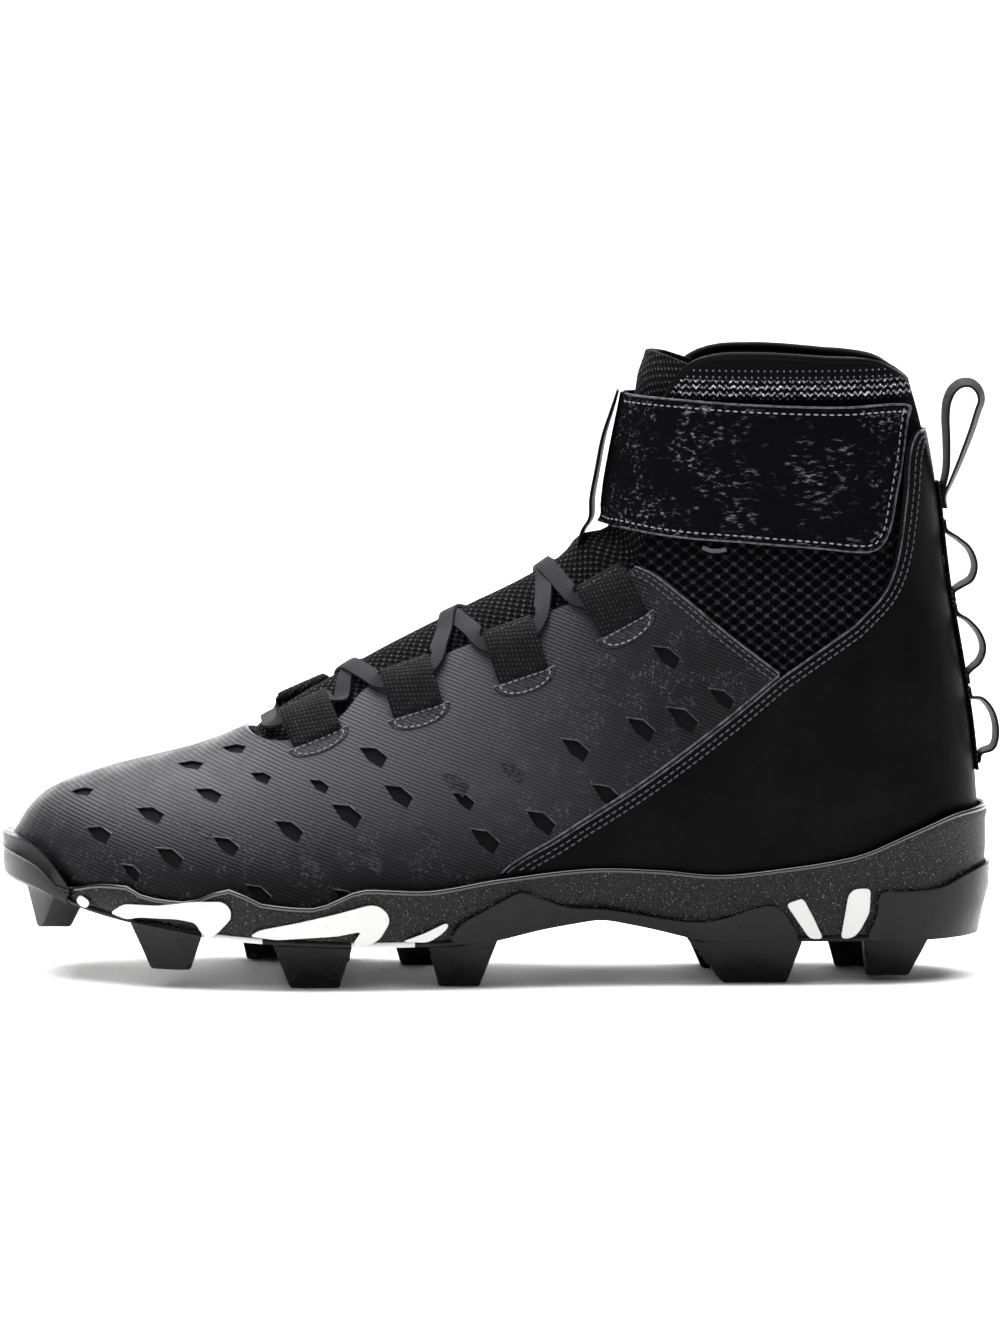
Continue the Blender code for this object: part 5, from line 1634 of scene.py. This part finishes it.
def softened_block(name):
    """A lug's tapered block with its edges rounded."""
    bm = lug_block(name, LUGS[name])
    face_outwards(bm)
    bmesh.ops.bevel(bm, geom=list(bm.edges), offset=LUG_EDGE, segments=2, profile=0.5, affect="EDGES",
                    material=-1)
    return bm


def block(name):
    return add_mesh("block_" + name, softened_block(name))


def moulded(made, unions, envelope, cores, stands_for):
    """A moulded piece: joined with its lugs, cut to the envelope and freed from what it sits on."""
    for each in unions:
        carve(made, each, "UNION")
    carve(made, envelope, "INTERSECT")
    for core in cores:
        carve(made, core, "DIFFERENCE")
    settle(made, stands_for, degrees=28.0)


# Where the white plate's edge shows between the lugs, as shares along
WHITE_EDGES = ((0.200, 0.265), (0.352, 0.412), (0.495, 0.530))
# Faces of the plate's side have a normal that rises less than this
UPRIGHT = 0.8
MIDDLE_GAP = 0.5 * MM
POD_CORNER = 4.0 * MM
HEEL_POD_CORNER = 3.0 * MM
INSERT_CORNER = 1.5 * MM


def build_sole():
    """Midsole, plate, insole, and the moulded pieces and accents round them."""
    room = last_room(PANEL_WALL + 2 * FIT, FIT)
    core = perimeter_solid("sole_core", core_profile(-FIT, FIT, FIT))
    pods = perimeter_solid("pod_envelope", envelope_profile(POD_PROUD + FIT))
    faces = perimeter_solid("insert_envelope", envelope_profile(INSERT_PROUD + FIT))
    midsole = perimeter_solid("midsole_wall", core_profile(PLATE_WALL + FIT, 0.0), "stipple")
    carve(midsole, room, "DIFFERENCE")
    carve(midsole, perimeter_solid("bed_room", bed_profile), "DIFFERENCE")
    settle(midsole, "midsole")
    plate = perimeter_solid("sole_plate", plate_profile, "white")
    plate.data.materials.append(FINISHES["lug"])
    for face in plate.data.polygons:
        share = (face.center.x - TOE_X) / LAST_LENGTH
        white = any(low < share < high for low, high in WHITE_EDGES)
        if abs(face.normal.z) < UPRIGHT and not white:
            face.material_index = 1
    settle(plate, "plate")
    settle(perimeter_solid("sock_liner", insole_profile, "lining"), "insole")

    def pod(name, outline, corner, near, far, lugs, stands_for):
        made = prism(name, rounded(sole_outline(outline), corner), near, far, "lug")
        moulded(made, [block(each) for each in lugs], pods, [core, room], stands_for)

    pod("bumper_toe", TOE_BUMPER, POD_CORNER, -FAR, FAR, ("toe_lateral", "toe_medial"), "toe_bumper")
    pod("pod_heel", HEEL_POD, HEEL_POD_CORNER, -FAR, FAR, ("heel_rear_lateral", "heel_rear_medial"),
        "heel_pod")
    for side, (near, far) in {"lateral": (-FAR, -MIDDLE_GAP), "medial": (MIDDLE_GAP, FAR)}.items():
        pod("pod_arch_" + side, ARCH_POD, POD_CORNER, near, far, ("ball_" + side, "heel_front_" + side),
            "arch_pod_" + side)
        for place in ("forefoot_front_", "forefoot_rear_"):
            lug = add_mesh("stud_" + place + side, softened_block(place + side), "lug")
            moulded(lug, [], pods, [core], "lug_" + place + side)
        for place, outline in INSERTS.items():
            shape = rounded(sole_outline(outline), INSERT_CORNER)
            insert = prism("accent_" + place + "_" + side, shape, near, far, "white")
            moulded(insert, [], faces, [core], "insert_" + place + "_" + side)
    build_lip()


LIP_PROUD = 0.35 * MM
LIP_DROP = 0.5 * MM
LIP_HALF_WIDTH = 0.55 * MM
LIP_HALF_HEIGHT = 0.75 * MM


def build_lip():
    """The glossy bead along the top edge of the sidewall."""
    bm = bmesh.new()
    rings = []
    for share, x, y, out_x, out_y in STATIONS:
        top = rim(share)
        reach = wall_reach(share, top, abs(out_y)) + LIP_PROUD
        ring = []
        for turn in AROUND:
            out = reach + LIP_HALF_WIDTH * math.cos(turn)
            z = top - LIP_DROP + LIP_HALF_HEIGHT * math.sin(turn)
            ring.append(bm.verts.new((x + out * out_x, y + out * out_y, z)))
        rings.append(ring)
    join_rings(bm, rings, closed=True)
    face_outwards(bm)
    settle(add_mesh("sidewall_lip", bm, "lip"), degrees=80.0)


# Section of a band with rounded edges, as shares of its width and thickness
BAND_SECTION = (
    (-0.5, 0.0), (-0.47, 0.42), (-0.30, 0.5), (0.0, 0.5), (0.30, 0.5), (0.47, 0.42),
    (0.5, 0.0), (0.47, -0.42), (0.30, -0.5), (0.0, -0.5), (-0.30, -0.5), (-0.47, -0.42),
)


def strip(name, centres, acrosses, normals, width, thickness, finish, bend=0.0):
    """A band with rounded edges swept along its middle line, its lengths as a UV map."""
    bm = bmesh.new()
    skin = bm.loops.layers.uv.new("skin")
    rings = []
    run = 0.0
    where = {}
    for i, (centre, sideways, normal) in enumerate(zip(centres, acrosses, normals)):
        if i:
            run += float(np.linalg.norm(centre - centres[i - 1]))
        side = unit(sideways) * width
        rise = unit(normal) * thickness
        ring = []
        for a, b in BAND_SECTION:
            vert = bm.verts.new(centre + side * a + rise * b - unit(normal) * bend * 4 * a * a)
            where[vert] = (a * width, run)
            ring.append(vert)
        rings.append(ring)
    for face in join_rings(bm, rings, ends=(rings[0], rings[-1])):
        for loop in face.loops:
            loop[skin].uv = where[loop.vert]
    face_outwards(bm)
    return add_mesh(name, bm, finish)


def smoothed(points, steps=4):
    return [np.array(p) for p in flowing([tuple(p) for p in points], steps)]


def run_at(points, i):
    """The run of a line at one of its points."""
    return points[min(i + 1, len(points) - 1)] - points[max(i - 1, 0)]


def band(name, centres, acrosses, normals, width, thickness):
    """The coarse route of a lace made fine."""
    flats = [acrosses[0]]
    for each in acrosses[1:]:
        flats.append(each if np.dot(unit(each), unit(flats[-1])) > 0 else -each)
    line = smoothed(centres)
    sides = smoothed([unit(each) for each in flats])
    ups = smoothed([unit(each) for each in normals])
    return strip(name, line, sides, ups, width, thickness, "lace")


# Rise of the upper strand over a crossing, in thicknesses of the lace
OVER_LIFT = 0.8


def build_laces():
    """Both strands; the one from the medial side lies over the other."""
    for name, first in (("lace_from_lateral", -1), ("lace_from_medial", 1)):
        lift = OVER_LIFT * LACE_THICKNESS if first > 0 else 0.0
        settle(lace_strand(name, first, lift), "laces", degrees=50.0)


SLOT_SETBACK = 2.4 * MM
# Path of a loop's webbing: a place and millimetres past it, a level and millimetres over it
LOOP_PATH = (
    ("slot", 0.0, "face", -1.4), ("slot", 0.5, "low", 0.0), ("slot", 3.0, "low", 0.7),
    ("eye", -1.0, "high", -0.4), ("eye", 1.5, "high", 0.0),
    ("end", -1.6, "high", 0.0), ("end", -0.5, "high", -0.5), ("end", -0.1, "middle", 0.0),
    ("end", -0.5, "low", 0.5), ("end", -1.6, "low", 0.0),
    ("eye", 0.0, "low", 0.0), ("slot", 3.0, "low", -0.4),
)


def build_lace_loops():
    """Folded webbing: one band up from its slot, over the lace and back under itself."""
    low = LOOP_LIFT + LOOP_BAND / 2
    high = low + LOOP_BAND + LOOP_EYE
    places = {"slot": -LOOP_TAIL + SLOT_SETBACK, "eye": EYE_START, "end": LOOP_REACH + 0.3 * LOOP_EYE}
    heights = {"face": 0.0, "low": low, "middle": (low + high) / 2, "high": high}
    path = [(places[at] + past * MM, heights[level] + over * MM) for at, past, level, over in LOOP_PATH]
    fine = smoothed([np.array(point) for point in path])
    for number, (place, across) in enumerate(LACE_LOOPS, start=1):
        for side, spot in (("lateral", across), ("medial", 1 - across)):
            origin, uphill, rearward, outward = loop_frame(place, spot)
            centres = [origin + uphill * a + outward * (b - loop_drop(a)) for a, b in fine]
            runs = [run_at(fine, i) for i in range(len(fine))]
            normals = [uphill * -run[1] + outward * run[0] for run in runs]
            made = strip("webbing_loop_" + side + "_" + str(number), centres, [rearward] * len(fine), normals,
                         LOOP_WIDTH, LOOP_BAND, "webbing")
            settle(made, "lace_loop_" + side + "_" + str(number), degrees=50.0)


def ribbon(name, path, thickness, width, finish, stands_for, turn=0.0, bend=0.0):
    """A ribbon along X and Z pairs, its width along Y, turned about its run between its ends."""
    fine = smoothed([np.array(p) for p in path], 6)
    centres = [np.array((x, 0.0, z)) for x, z in fine]
    normals = []
    acrosses = []
    for i in range(len(fine)):
        run = unit(run_at(fine, i))
        normal = np.array((-run[1], 0.0, run[0]))
        turned = turn * math.sin(math.pi * i / (len(fine) - 1)) ** 0.5
        sideways = np.array((0.0, math.cos(turned), 0.0)) + normal * math.sin(turned)
        acrosses.append(sideways)
        normals.append(np.cross(sideways, np.array((run[0], 0.0, run[1]))))
    made = strip(name, centres, acrosses, normals, width, thickness, finish, bend)
    settle(made, stands_for, degrees=50.0)


RIBBON_TAIL = 0.018
PULL_LOOP_TURN = math.radians(17.0)
HEEL_LOOP_TURN = math.radians(-11.0)
SPINE_BEND = 0.4 * MM
RIBBON_ROOT = 1.2 * MM
# Millimetres past its root over which a ribbon comes away from the smoothed heel
ROOT_BLEND = 3.0
# Where the rays to the heel's back start, just beside its seam
HEEL_RAY = 0.2
HEEL_RAY_SIDE = 0.4 * MM


def heel_face(rise):
    """X of the smoothed heel panel's back at a height on the upper."""
    hit = SKIN.ray_cast((HEEL_RAY, HEEL_RAY_SIDE, upper_height(rise)), (-1.0, 0.0, 0.0))[0]
    return hit.x + FIT + PANEL_WALL


# Rises on the heel's back: of the strip's points, and of the pull loop's roots, with its last
# points' reach past the root in millimetres
SPINE_RISES = (0.26, 0.34, 0.42, 0.50, 0.58, 0.66, 0.74, 0.77)
PULL_STARTS = (0.722, 0.740)
PULL_ENDS = ((1.0, 0.742), (0.9, 0.722))


def build_heel_ribbons():
    """The stitched strip up the heel, and the ribbon that leaves it in loops."""
    stand = SPINE_THICKNESS / 2
    spine = [(heel_face(rise) + stand, upper_height(rise)) for rise in SPINE_RISES]
    ribbon("spine_strip", spine, SPINE_THICKNESS, SPINE_WIDTH, "webbing", "heel_webbing", 0.0, -SPINE_BEND)
    seat = SPINE_THICKNESS - RIBBON_ROOT + HEEL_LOOP_BAND / 2
    root = RIBBON_ROOT / MM

    def placed(path):
        points = []
        for reach, rise in path:
            line = back_line(rise)
            rooted = max(0.0, 1 - max(0.0, reach - root) / ROOT_BLEND)
            points.append((line + (heel_face(rise) - line) * rooted + seat + reach * MM, upper_height(rise)))
        return points

    starts = tuple((root, rise) for rise in PULL_STARTS)
    ends = tuple((root + past, rise) for past, rise in PULL_ENDS)
    loops = [("pull_loop_ribbon", "pull_loop", starts + PULL_LOOP[:-1] + ends, PULL_LOOP_TURN)]
    for number, path in enumerate(HEEL_LOOPS, start=1):
        whole = ((root, path[0][1] + RIBBON_TAIL),) + path + ((root, path[-1][1] - RIBBON_TAIL),)
        loops.append(("heel_ribbon_" + str(number), "heel_loop_" + str(number), whole, HEEL_LOOP_TURN))
    for name, stands_for, path, turn in loops:
        ribbon(name, placed(path), HEEL_LOOP_BAND, HEEL_LOOP_WIDTH, "ribbon", stands_for, turn)


# The keeper ribbon: rise share, and millimetres in front of the strap
KEEPER = (
    (0.930, 0.9), (0.900, 1.3), (0.850, 2.2), (0.790, 2.2), (0.740, 2.3), (0.705, 2.6), (0.684, 2.4),
    (0.670, 0.2), (0.660, -1.6),
)
KEEPER_TURN = math.radians(6.0)
KEEPER_BELOW = 5


def build_keeper():
    """The ribbon that stands in front of the strap."""
    path = []
    places = np.linspace(CLOSING - KEEPER_BELOW, TOP, LINE_STEPS)
    crest = np.array([last_point(place, 0.5) for place in places])
    for rise, gap in KEEPER:
        front = float(np.interp(upper_height(rise), crest[:, 2], crest[:, 0]))
        path.append((front - FIT - STRAP_WALL - gap * MM, upper_height(rise)))
    ribbon("keeper_ribbon", path, KEEPER_THICKNESS, KEEPER_WIDTH, "ribbon", "strap_keeper", KEEPER_TURN)


# Rings of a stitch: share along it, share of its thickness, and rise in thicknesses
STITCH_RINGS = ((-0.5, 0.45, -0.2), (-0.25, 1.0, 0.35), (0.25, 1.0, 0.35), (0.5, 0.45, -0.2))
STITCH_LOOK = 0.3 * MM
TINY = 1e-6


def between(distance, run, values):
    """A point or normal at a distance along a line."""
    return np.array([np.interp(distance, run, values[:, k]) for k in range(3)])


def stitch_rows(name, rows, finish, length, pitch, thick):
    """Rows of small raised stitches along lines of points with normals, as one mesh."""
    bm = bmesh.new()
    for line in rows:
        points = np.array([point for point, _ in line])
        normals = np.array([normal for _, normal in line])
        run = np.concatenate(((0.0,), np.cumsum(np.linalg.norm(np.diff(points, axis=0), axis=1))))
        for distance in np.arange(pitch / 2, run[-1], pitch):
            centre = between(distance, run, points)
            ahead = between(distance + STITCH_LOOK, run, points)
            back = between(distance - STITCH_LOOK, run, points)
            if np.linalg.norm(ahead - back) < TINY:
                continue
            up = unit(between(distance, run, normals))
            forward = unit(ahead - back)
            side = unit(np.cross(up, forward))
            rings = []
            for share, size, rise in STITCH_RINGS:
                middle = centre + forward * share * length + up * rise * thick
                radius = size * thick / 2
                rings.append([bm.verts.new(middle + (side * math.cos(t) + up * math.sin(t)) * radius)
                              for t in AROUND[::2]])
            join_rings(bm, rings, ends=(rings[0], rings[-1]))
    face_outwards(bm)
    settle(add_mesh(name, bm, finish), degrees=60.0)


def skin_line(outline, side, lift, reach=2.5 * MM):
    """An X and Z line laid on the upper's skin, in short steps, above the sole's rim."""
    made = []
    fine = [outline[0]]
    for here, after in zip(outline, outline[1:]):
        count = max(1, math.ceil(math.dist(here, after) / reach))
        fine += [(here[0] + (after[0] - here[0]) * k / count, here[1] + (after[1] - here[1]) * k / count)
                 for k in range(1, count + 1)]
    for x, z in fine:
        if z < rim((x - TOE_X) / LAST_LENGTH) + MM:
            continue
        point, normal = on_skin(x, z, side, lift)
        if point is not None:
            made.append((point, normal))
    return made


def offset_line(points, gap):
    """A flat line moved sideways, to the right of its run when gap is positive."""
    made = []
    for i, point in enumerate(points):
        before = points[max(i - 1, 0)]
        after = points[min(i + 1, len(points) - 1)]
        run = unit(np.array(after) - np.array(before))
        made.append((point[0] + run[1] * gap, point[1] - run[0] * gap))
    return made


def tube(name, lines, radius, finish):
    """Thin tubes along lines of points with normals, as one mesh."""
    bm = bmesh.new()
    for line in lines:
        points = [point for point, _ in line]
        rings = []
        for i, (point, normal) in enumerate(line):
            run = unit(run_at(points, i))
            side = unit(np.cross(run, normal))
            up = unit(np.cross(side, run))
            rings.append([bm.verts.new(point + (side * math.cos(t) + up * math.sin(t)) * radius)
                          for t in AROUND])
        join_rings(bm, rings, ends=(rings[0], rings[-1]))
    face_outwards(bm)
    settle(add_mesh(name, bm, finish), degrees=80.0)


def laid(point, outward, lift):
    """The nearest point over the upper's skin, with its normal."""
    hit, normal = SKIN.find_nearest(tuple(point))[:2]
    normal = np.array(normal)
    if np.dot(normal, outward) < 0:
        normal = -normal
    return np.array(hit) + normal * lift, normal


PATCH_MARGIN = 1.9 * MM
PATCH_DEPTH = 5.4 * MM
PATCH_HEIGHT = 0.45 * MM
CHORD_SHRINK = 0.35
CHORD_REACH = 0.8
CHORD_POINTS = 9
MOON_FULLNESS = 0.8
MOON_POINTS = 21
SEWN_SHRINK = 0.80
SLOT_EDGE_RADIUS = 0.3 * MM
# Rings of a patch: shrink and height over the vamp's face
PATCH_RINGS = (
    (1.0, -0.3 * MM), (0.96, 0.8 * PATCH_HEIGHT), (0.85, PATCH_HEIGHT), (0.5, PATCH_HEIGHT),
    (0.15, PATCH_HEIGHT),
)


def half_moon(shrink):
    """A half moon below a loop's slot: rearward and uphill pairs, its chord last."""
    half = (LOOP_WIDTH / 2 + PATCH_MARGIN) * shrink
    chord = -LOOP_TAIL + SLOT_SETBACK - (1 - shrink) * PATCH_DEPTH * CHORD_SHRINK
    depth = PATCH_DEPTH * shrink
    curve = [(half * math.cos(t), chord - depth * math.sin(t) ** MOON_FULLNESS)
             for t in np.linspace(0, math.pi, MOON_POINTS)]
    return curve + [(half * a, chord) for a in np.linspace(-CHORD_REACH, CHORD_REACH, CHORD_POINTS)]


def build_patches():
    """Half-moon patches under the loops' slots, with a sewn row round each and a bright slot edge."""
    rows = []
    slots = []
    top = FIT + PANEL_WALL + PATCH_HEIGHT
    bm = bmesh.new()
    for place, across in LACE_LOOPS:
        for spot in (across, 1 - across):
            origin, uphill, rearward, outward = loop_frame(place, spot)

            def on_face(shrink, lift):
                return [laid(origin + rearward * a + uphill * b, outward, lift) for a, b in half_moon(shrink)]

            rings = []
            for shrink, over in PATCH_RINGS:
                lift = FIT + PANEL_WALL + over
                rings.append([bm.verts.new(point) for point, _ in on_face(shrink, lift)])
            join_rings(bm, rings, ends=(rings[-1],))
            sewn = on_face(SEWN_SHRINK, top)
            rows.append(sewn[:MOON_POINTS])
            rows.append(sewn[MOON_POINTS - 1:] + sewn[:1])
            rim_line = on_face(1.0, top)
            slots.append(rim_line[MOON_POINTS - 1:] + rim_line[:1])
    face_outwards(bm)
    settle(add_mesh("loop_patches", bm, "patch"), degrees=50.0)
    stitch_rows("patch_stitches", rows, "thread", 1.4 * MM, 2.0 * MM, 0.45 * MM)
    tube("slot_edges", slots, SLOT_EDGE_RADIUS, "piping")


COLLAR_POINTS = 11
BINDING_RADIUS = 0.35 * MM
TAB_RADIUS = 0.7 * MM
TAB = ((0.716, 0.664), (0.724, 0.659), (0.732, 0.659), (0.740, 0.662))


def build_collar():
    """The bound edge round the collar's opening, and the small tab under the strap."""
    edge = flowing(upper_outline(THROAT_EDGE[COLLAR_POINTS:]), 8)
    lines = [skin_line(edge, side, -UPPER_WALL / 2) for side in (-1, 1)]
    tube("collar_binding", lines, UPPER_WALL / 2 + BINDING_RADIUS, "quarter")
    tabs = [skin_line(flowing(upper_outline(TAB), 4), side, FIT + STRAP_WALL / 2) for side in (-1, 1)]
    tube("strap_tab", tabs, TAB_RADIUS, "dark_thread")


# Lines beside the panels' edges: what they are, the edge, gap to it and height in millimetres
SEAM_LINES = (
    ("double", "whole", 2.2, 0.1), ("double", "rear", -1.6, 0.1),
    ("double", "whole", 3.8, 0.1), ("double", "rear", -3.2, 0.1),
    ("piping", "seam", -0.6, 0.1), ("piping", "whole", 0.5, -0.1), ("piping", "rear", -0.5, 0.1),
    ("light", "strap_low", -2.2, 0.1), ("piping", "strap_low", -0.4, -0.2),
    ("light", "strap_high", -2.4, 0.1), ("piping", "strap_high", -0.3, -0.1),
)
PIPING_RADIUS = 0.35 * MM


def build_seams():
    """Stitched rows and folded edges along the panels and round the strap."""
    panel = FIT + PANEL_WALL
    cloth = FIT + STRAP_WALL
    seam = flowing(upper_outline(QUARTER_SEAM), 8)
    edges = {
        "seam": (seam, panel),
        "whole": (seam + flowing(upper_outline(QUARTER_TOP), 8), panel),
        "rear": (flowing(upper_outline(VAMP_REAR), 8), panel),
        "strap_low": (flowing(upper_outline(STRAP_EDGE[1:13]), 6), cloth),
        "strap_high": (flowing(upper_outline(STRAP_EDGE[11:17]), 6), cloth),
    }
    lines = {"double": [], "light": [], "piping": []}
    for side in (-1, 1):
        for kind, edge, gap, over in SEAM_LINES:
            points, face = edges[edge]
            line = skin_line(offset_line(points, gap * MM), side, face + over * MM)
            if len(line) > 3:
                lines[kind].append(line)
    stitch_rows("seam_stitches", lines["double"], "dark_thread", 1.7 * MM, 2.3 * MM, 0.5 * MM)
    stitch_rows("strap_stitches", lines["light"], "thread", 1.5 * MM, 2.4 * MM, 0.45 * MM)
    tube("edge_piping", lines["piping"], PIPING_RADIUS, "piping")


LOOP_SEAM_INSET = 1.6 * MM


def build_loop_stitches():
    """The sewn row across the top of each loop."""
    rows = []
    half = LOOP_WIDTH / 2 - LOOP_SEAM_INSET
    up = LOOP_REACH - LOOP_SEAM_INSET
    top = LOOP_LIFT + 2 * LOOP_BAND + LOOP_EYE - loop_drop(up)
    for place, across in LACE_LOOPS:
        for spot in (across, 1 - across):
            origin, uphill, rearward, outward = loop_frame(place, spot)
            rows.append([(origin + uphill * up + rearward * a + outward * top, outward)
                         for a in np.linspace(-half, half, 8)])
    stitch_rows("loop_stitches", rows, "dark_thread", 1.2 * MM, 1.8 * MM, 0.35 * MM)


STAGE_REACH = 7.0
STAGE_ROUND = 2.0
STAGE_HEIGHT = 8.0
STAGE_WIDTH = 12.0


def build_stage():
    """Pale floor that runs up into a pale wall."""
    bm = bmesh.new()
    profile = [(-STAGE_REACH, 0.0), (STAGE_REACH, 0.0)]
    profile += [(STAGE_REACH + STAGE_ROUND * math.sin(t), STAGE_ROUND * (1 - math.cos(t)))
                for t in np.linspace(0.1, math.pi / 2, 12)]
    profile.append((STAGE_REACH + STAGE_ROUND, STAGE_HEIGHT))
    rows = [[bm.verts.new((x, y, z)) for x in (-STAGE_WIDTH, STAGE_WIDTH)] for y, z in profile]
    for here, after in zip(rows, rows[1:]):
        bm.faces.new((here[0], here[1], after[1], after[0]))
    mesh = bpy.data.meshes.new("studio_floor")
    bm.to_mesh(mesh)
    bm.free()
    floor = bpy.data.objects.new("studio_floor", mesh)
    bpy.context.scene.collection.objects.link(floor)
    mesh.shade_smooth()
    mesh.materials.append(new_material("pale_paper", "f6f6f6", 0.9, Specular_IOR_Level=0.1)[0])


CAMERA_RISE = math.radians(4.8)
SENSOR_WIDTH = 36.0
CAMERA_DISTANCE = 3.0
PHOTO_WIDTH = 0.300
PHOTO_MIDDLE_HEIGHT = 0.0925


def build_camera():
    camera = bpy.data.cameras.new("camera")
    camera.sensor_fit = "HORIZONTAL"
    camera.sensor_width = SENSOR_WIDTH
    camera.lens = SENSOR_WIDTH * CAMERA_DISTANCE / PHOTO_WIDTH
    camera.clip_end = 50.0
    made = bpy.data.objects.new("camera", camera)
    bpy.context.scene.collection.objects.link(made)
    aim = np.array((0.0, 0.0, PHOTO_MIDDLE_HEIGHT))
    away = np.array((0.0, -math.cos(CAMERA_RISE), math.sin(CAMERA_RISE)))
    made.location = tuple(aim + away * CAMERA_DISTANCE)
    made.rotation_euler = (math.pi / 2 - CAMERA_RISE, 0.0, 0.0)
    bpy.context.scene.camera = made


def area_light(name, place, aim, size, power):
    light = bpy.data.lights.new(name, "AREA")
    light.shape = "RECTANGLE"
    light.size, light.size_y = size
    light.energy = power
    made = bpy.data.objects.new(name, light)
    bpy.context.scene.collection.objects.link(made)
    made.location = place
    toward = unit(np.array(aim) - np.array(place))
    made.rotation_euler = (math.acos(-toward[2]), 0.0, math.atan2(toward[1], toward[0]) - math.pi / 2)


WORLD_STRENGTH = 0.16
# Soft lights: name, place, aim, size and power in watts
LIGHTS = (
    ("overhead_softbox", (-0.2, 0.1, 1.3), (0.0, 0.0, 0.0), (1.6, 1.2), 27.0),
    ("front_softbox", (-0.9, -1.1, 1.0), (0.0, 0.0, 0.06), (0.8, 0.5), 5.0),
    ("ceiling_panel", (0.0, 1.5, 5.0), (0.0, 1.5, 0.0), (8.0, 8.0), 850.0),
    ("backdrop_softbox", (0.0, 5.0, 3.0), (0.0, 9.0, 1.0), (8.0, 2.0), 620.0),
)


def build_light():
    world = bpy.data.worlds.new("studio")
    world.use_nodes = True
    sky = world.node_tree.nodes["Background"]
    sky.inputs["Color"].default_value = (1.0, 1.0, 1.0, 1.0)
    sky.inputs["Strength"].default_value = WORLD_STRENGTH
    bpy.context.scene.world = world
    bpy.context.scene.view_settings.view_transform = "Standard"
    for row in LIGHTS:
        area_light(*row)


build_camera()
build_stage()
build_light()
build_upper()
build_sole()
build_lace_loops()
build_laces()
build_heel_ribbons()
build_keeper()
build_kites()
build_patches()
build_collar()
build_seams()
build_loop_stitches()
for cutter in CUTTERS:
    bpy.data.objects.remove(cutter, do_unlink=True)
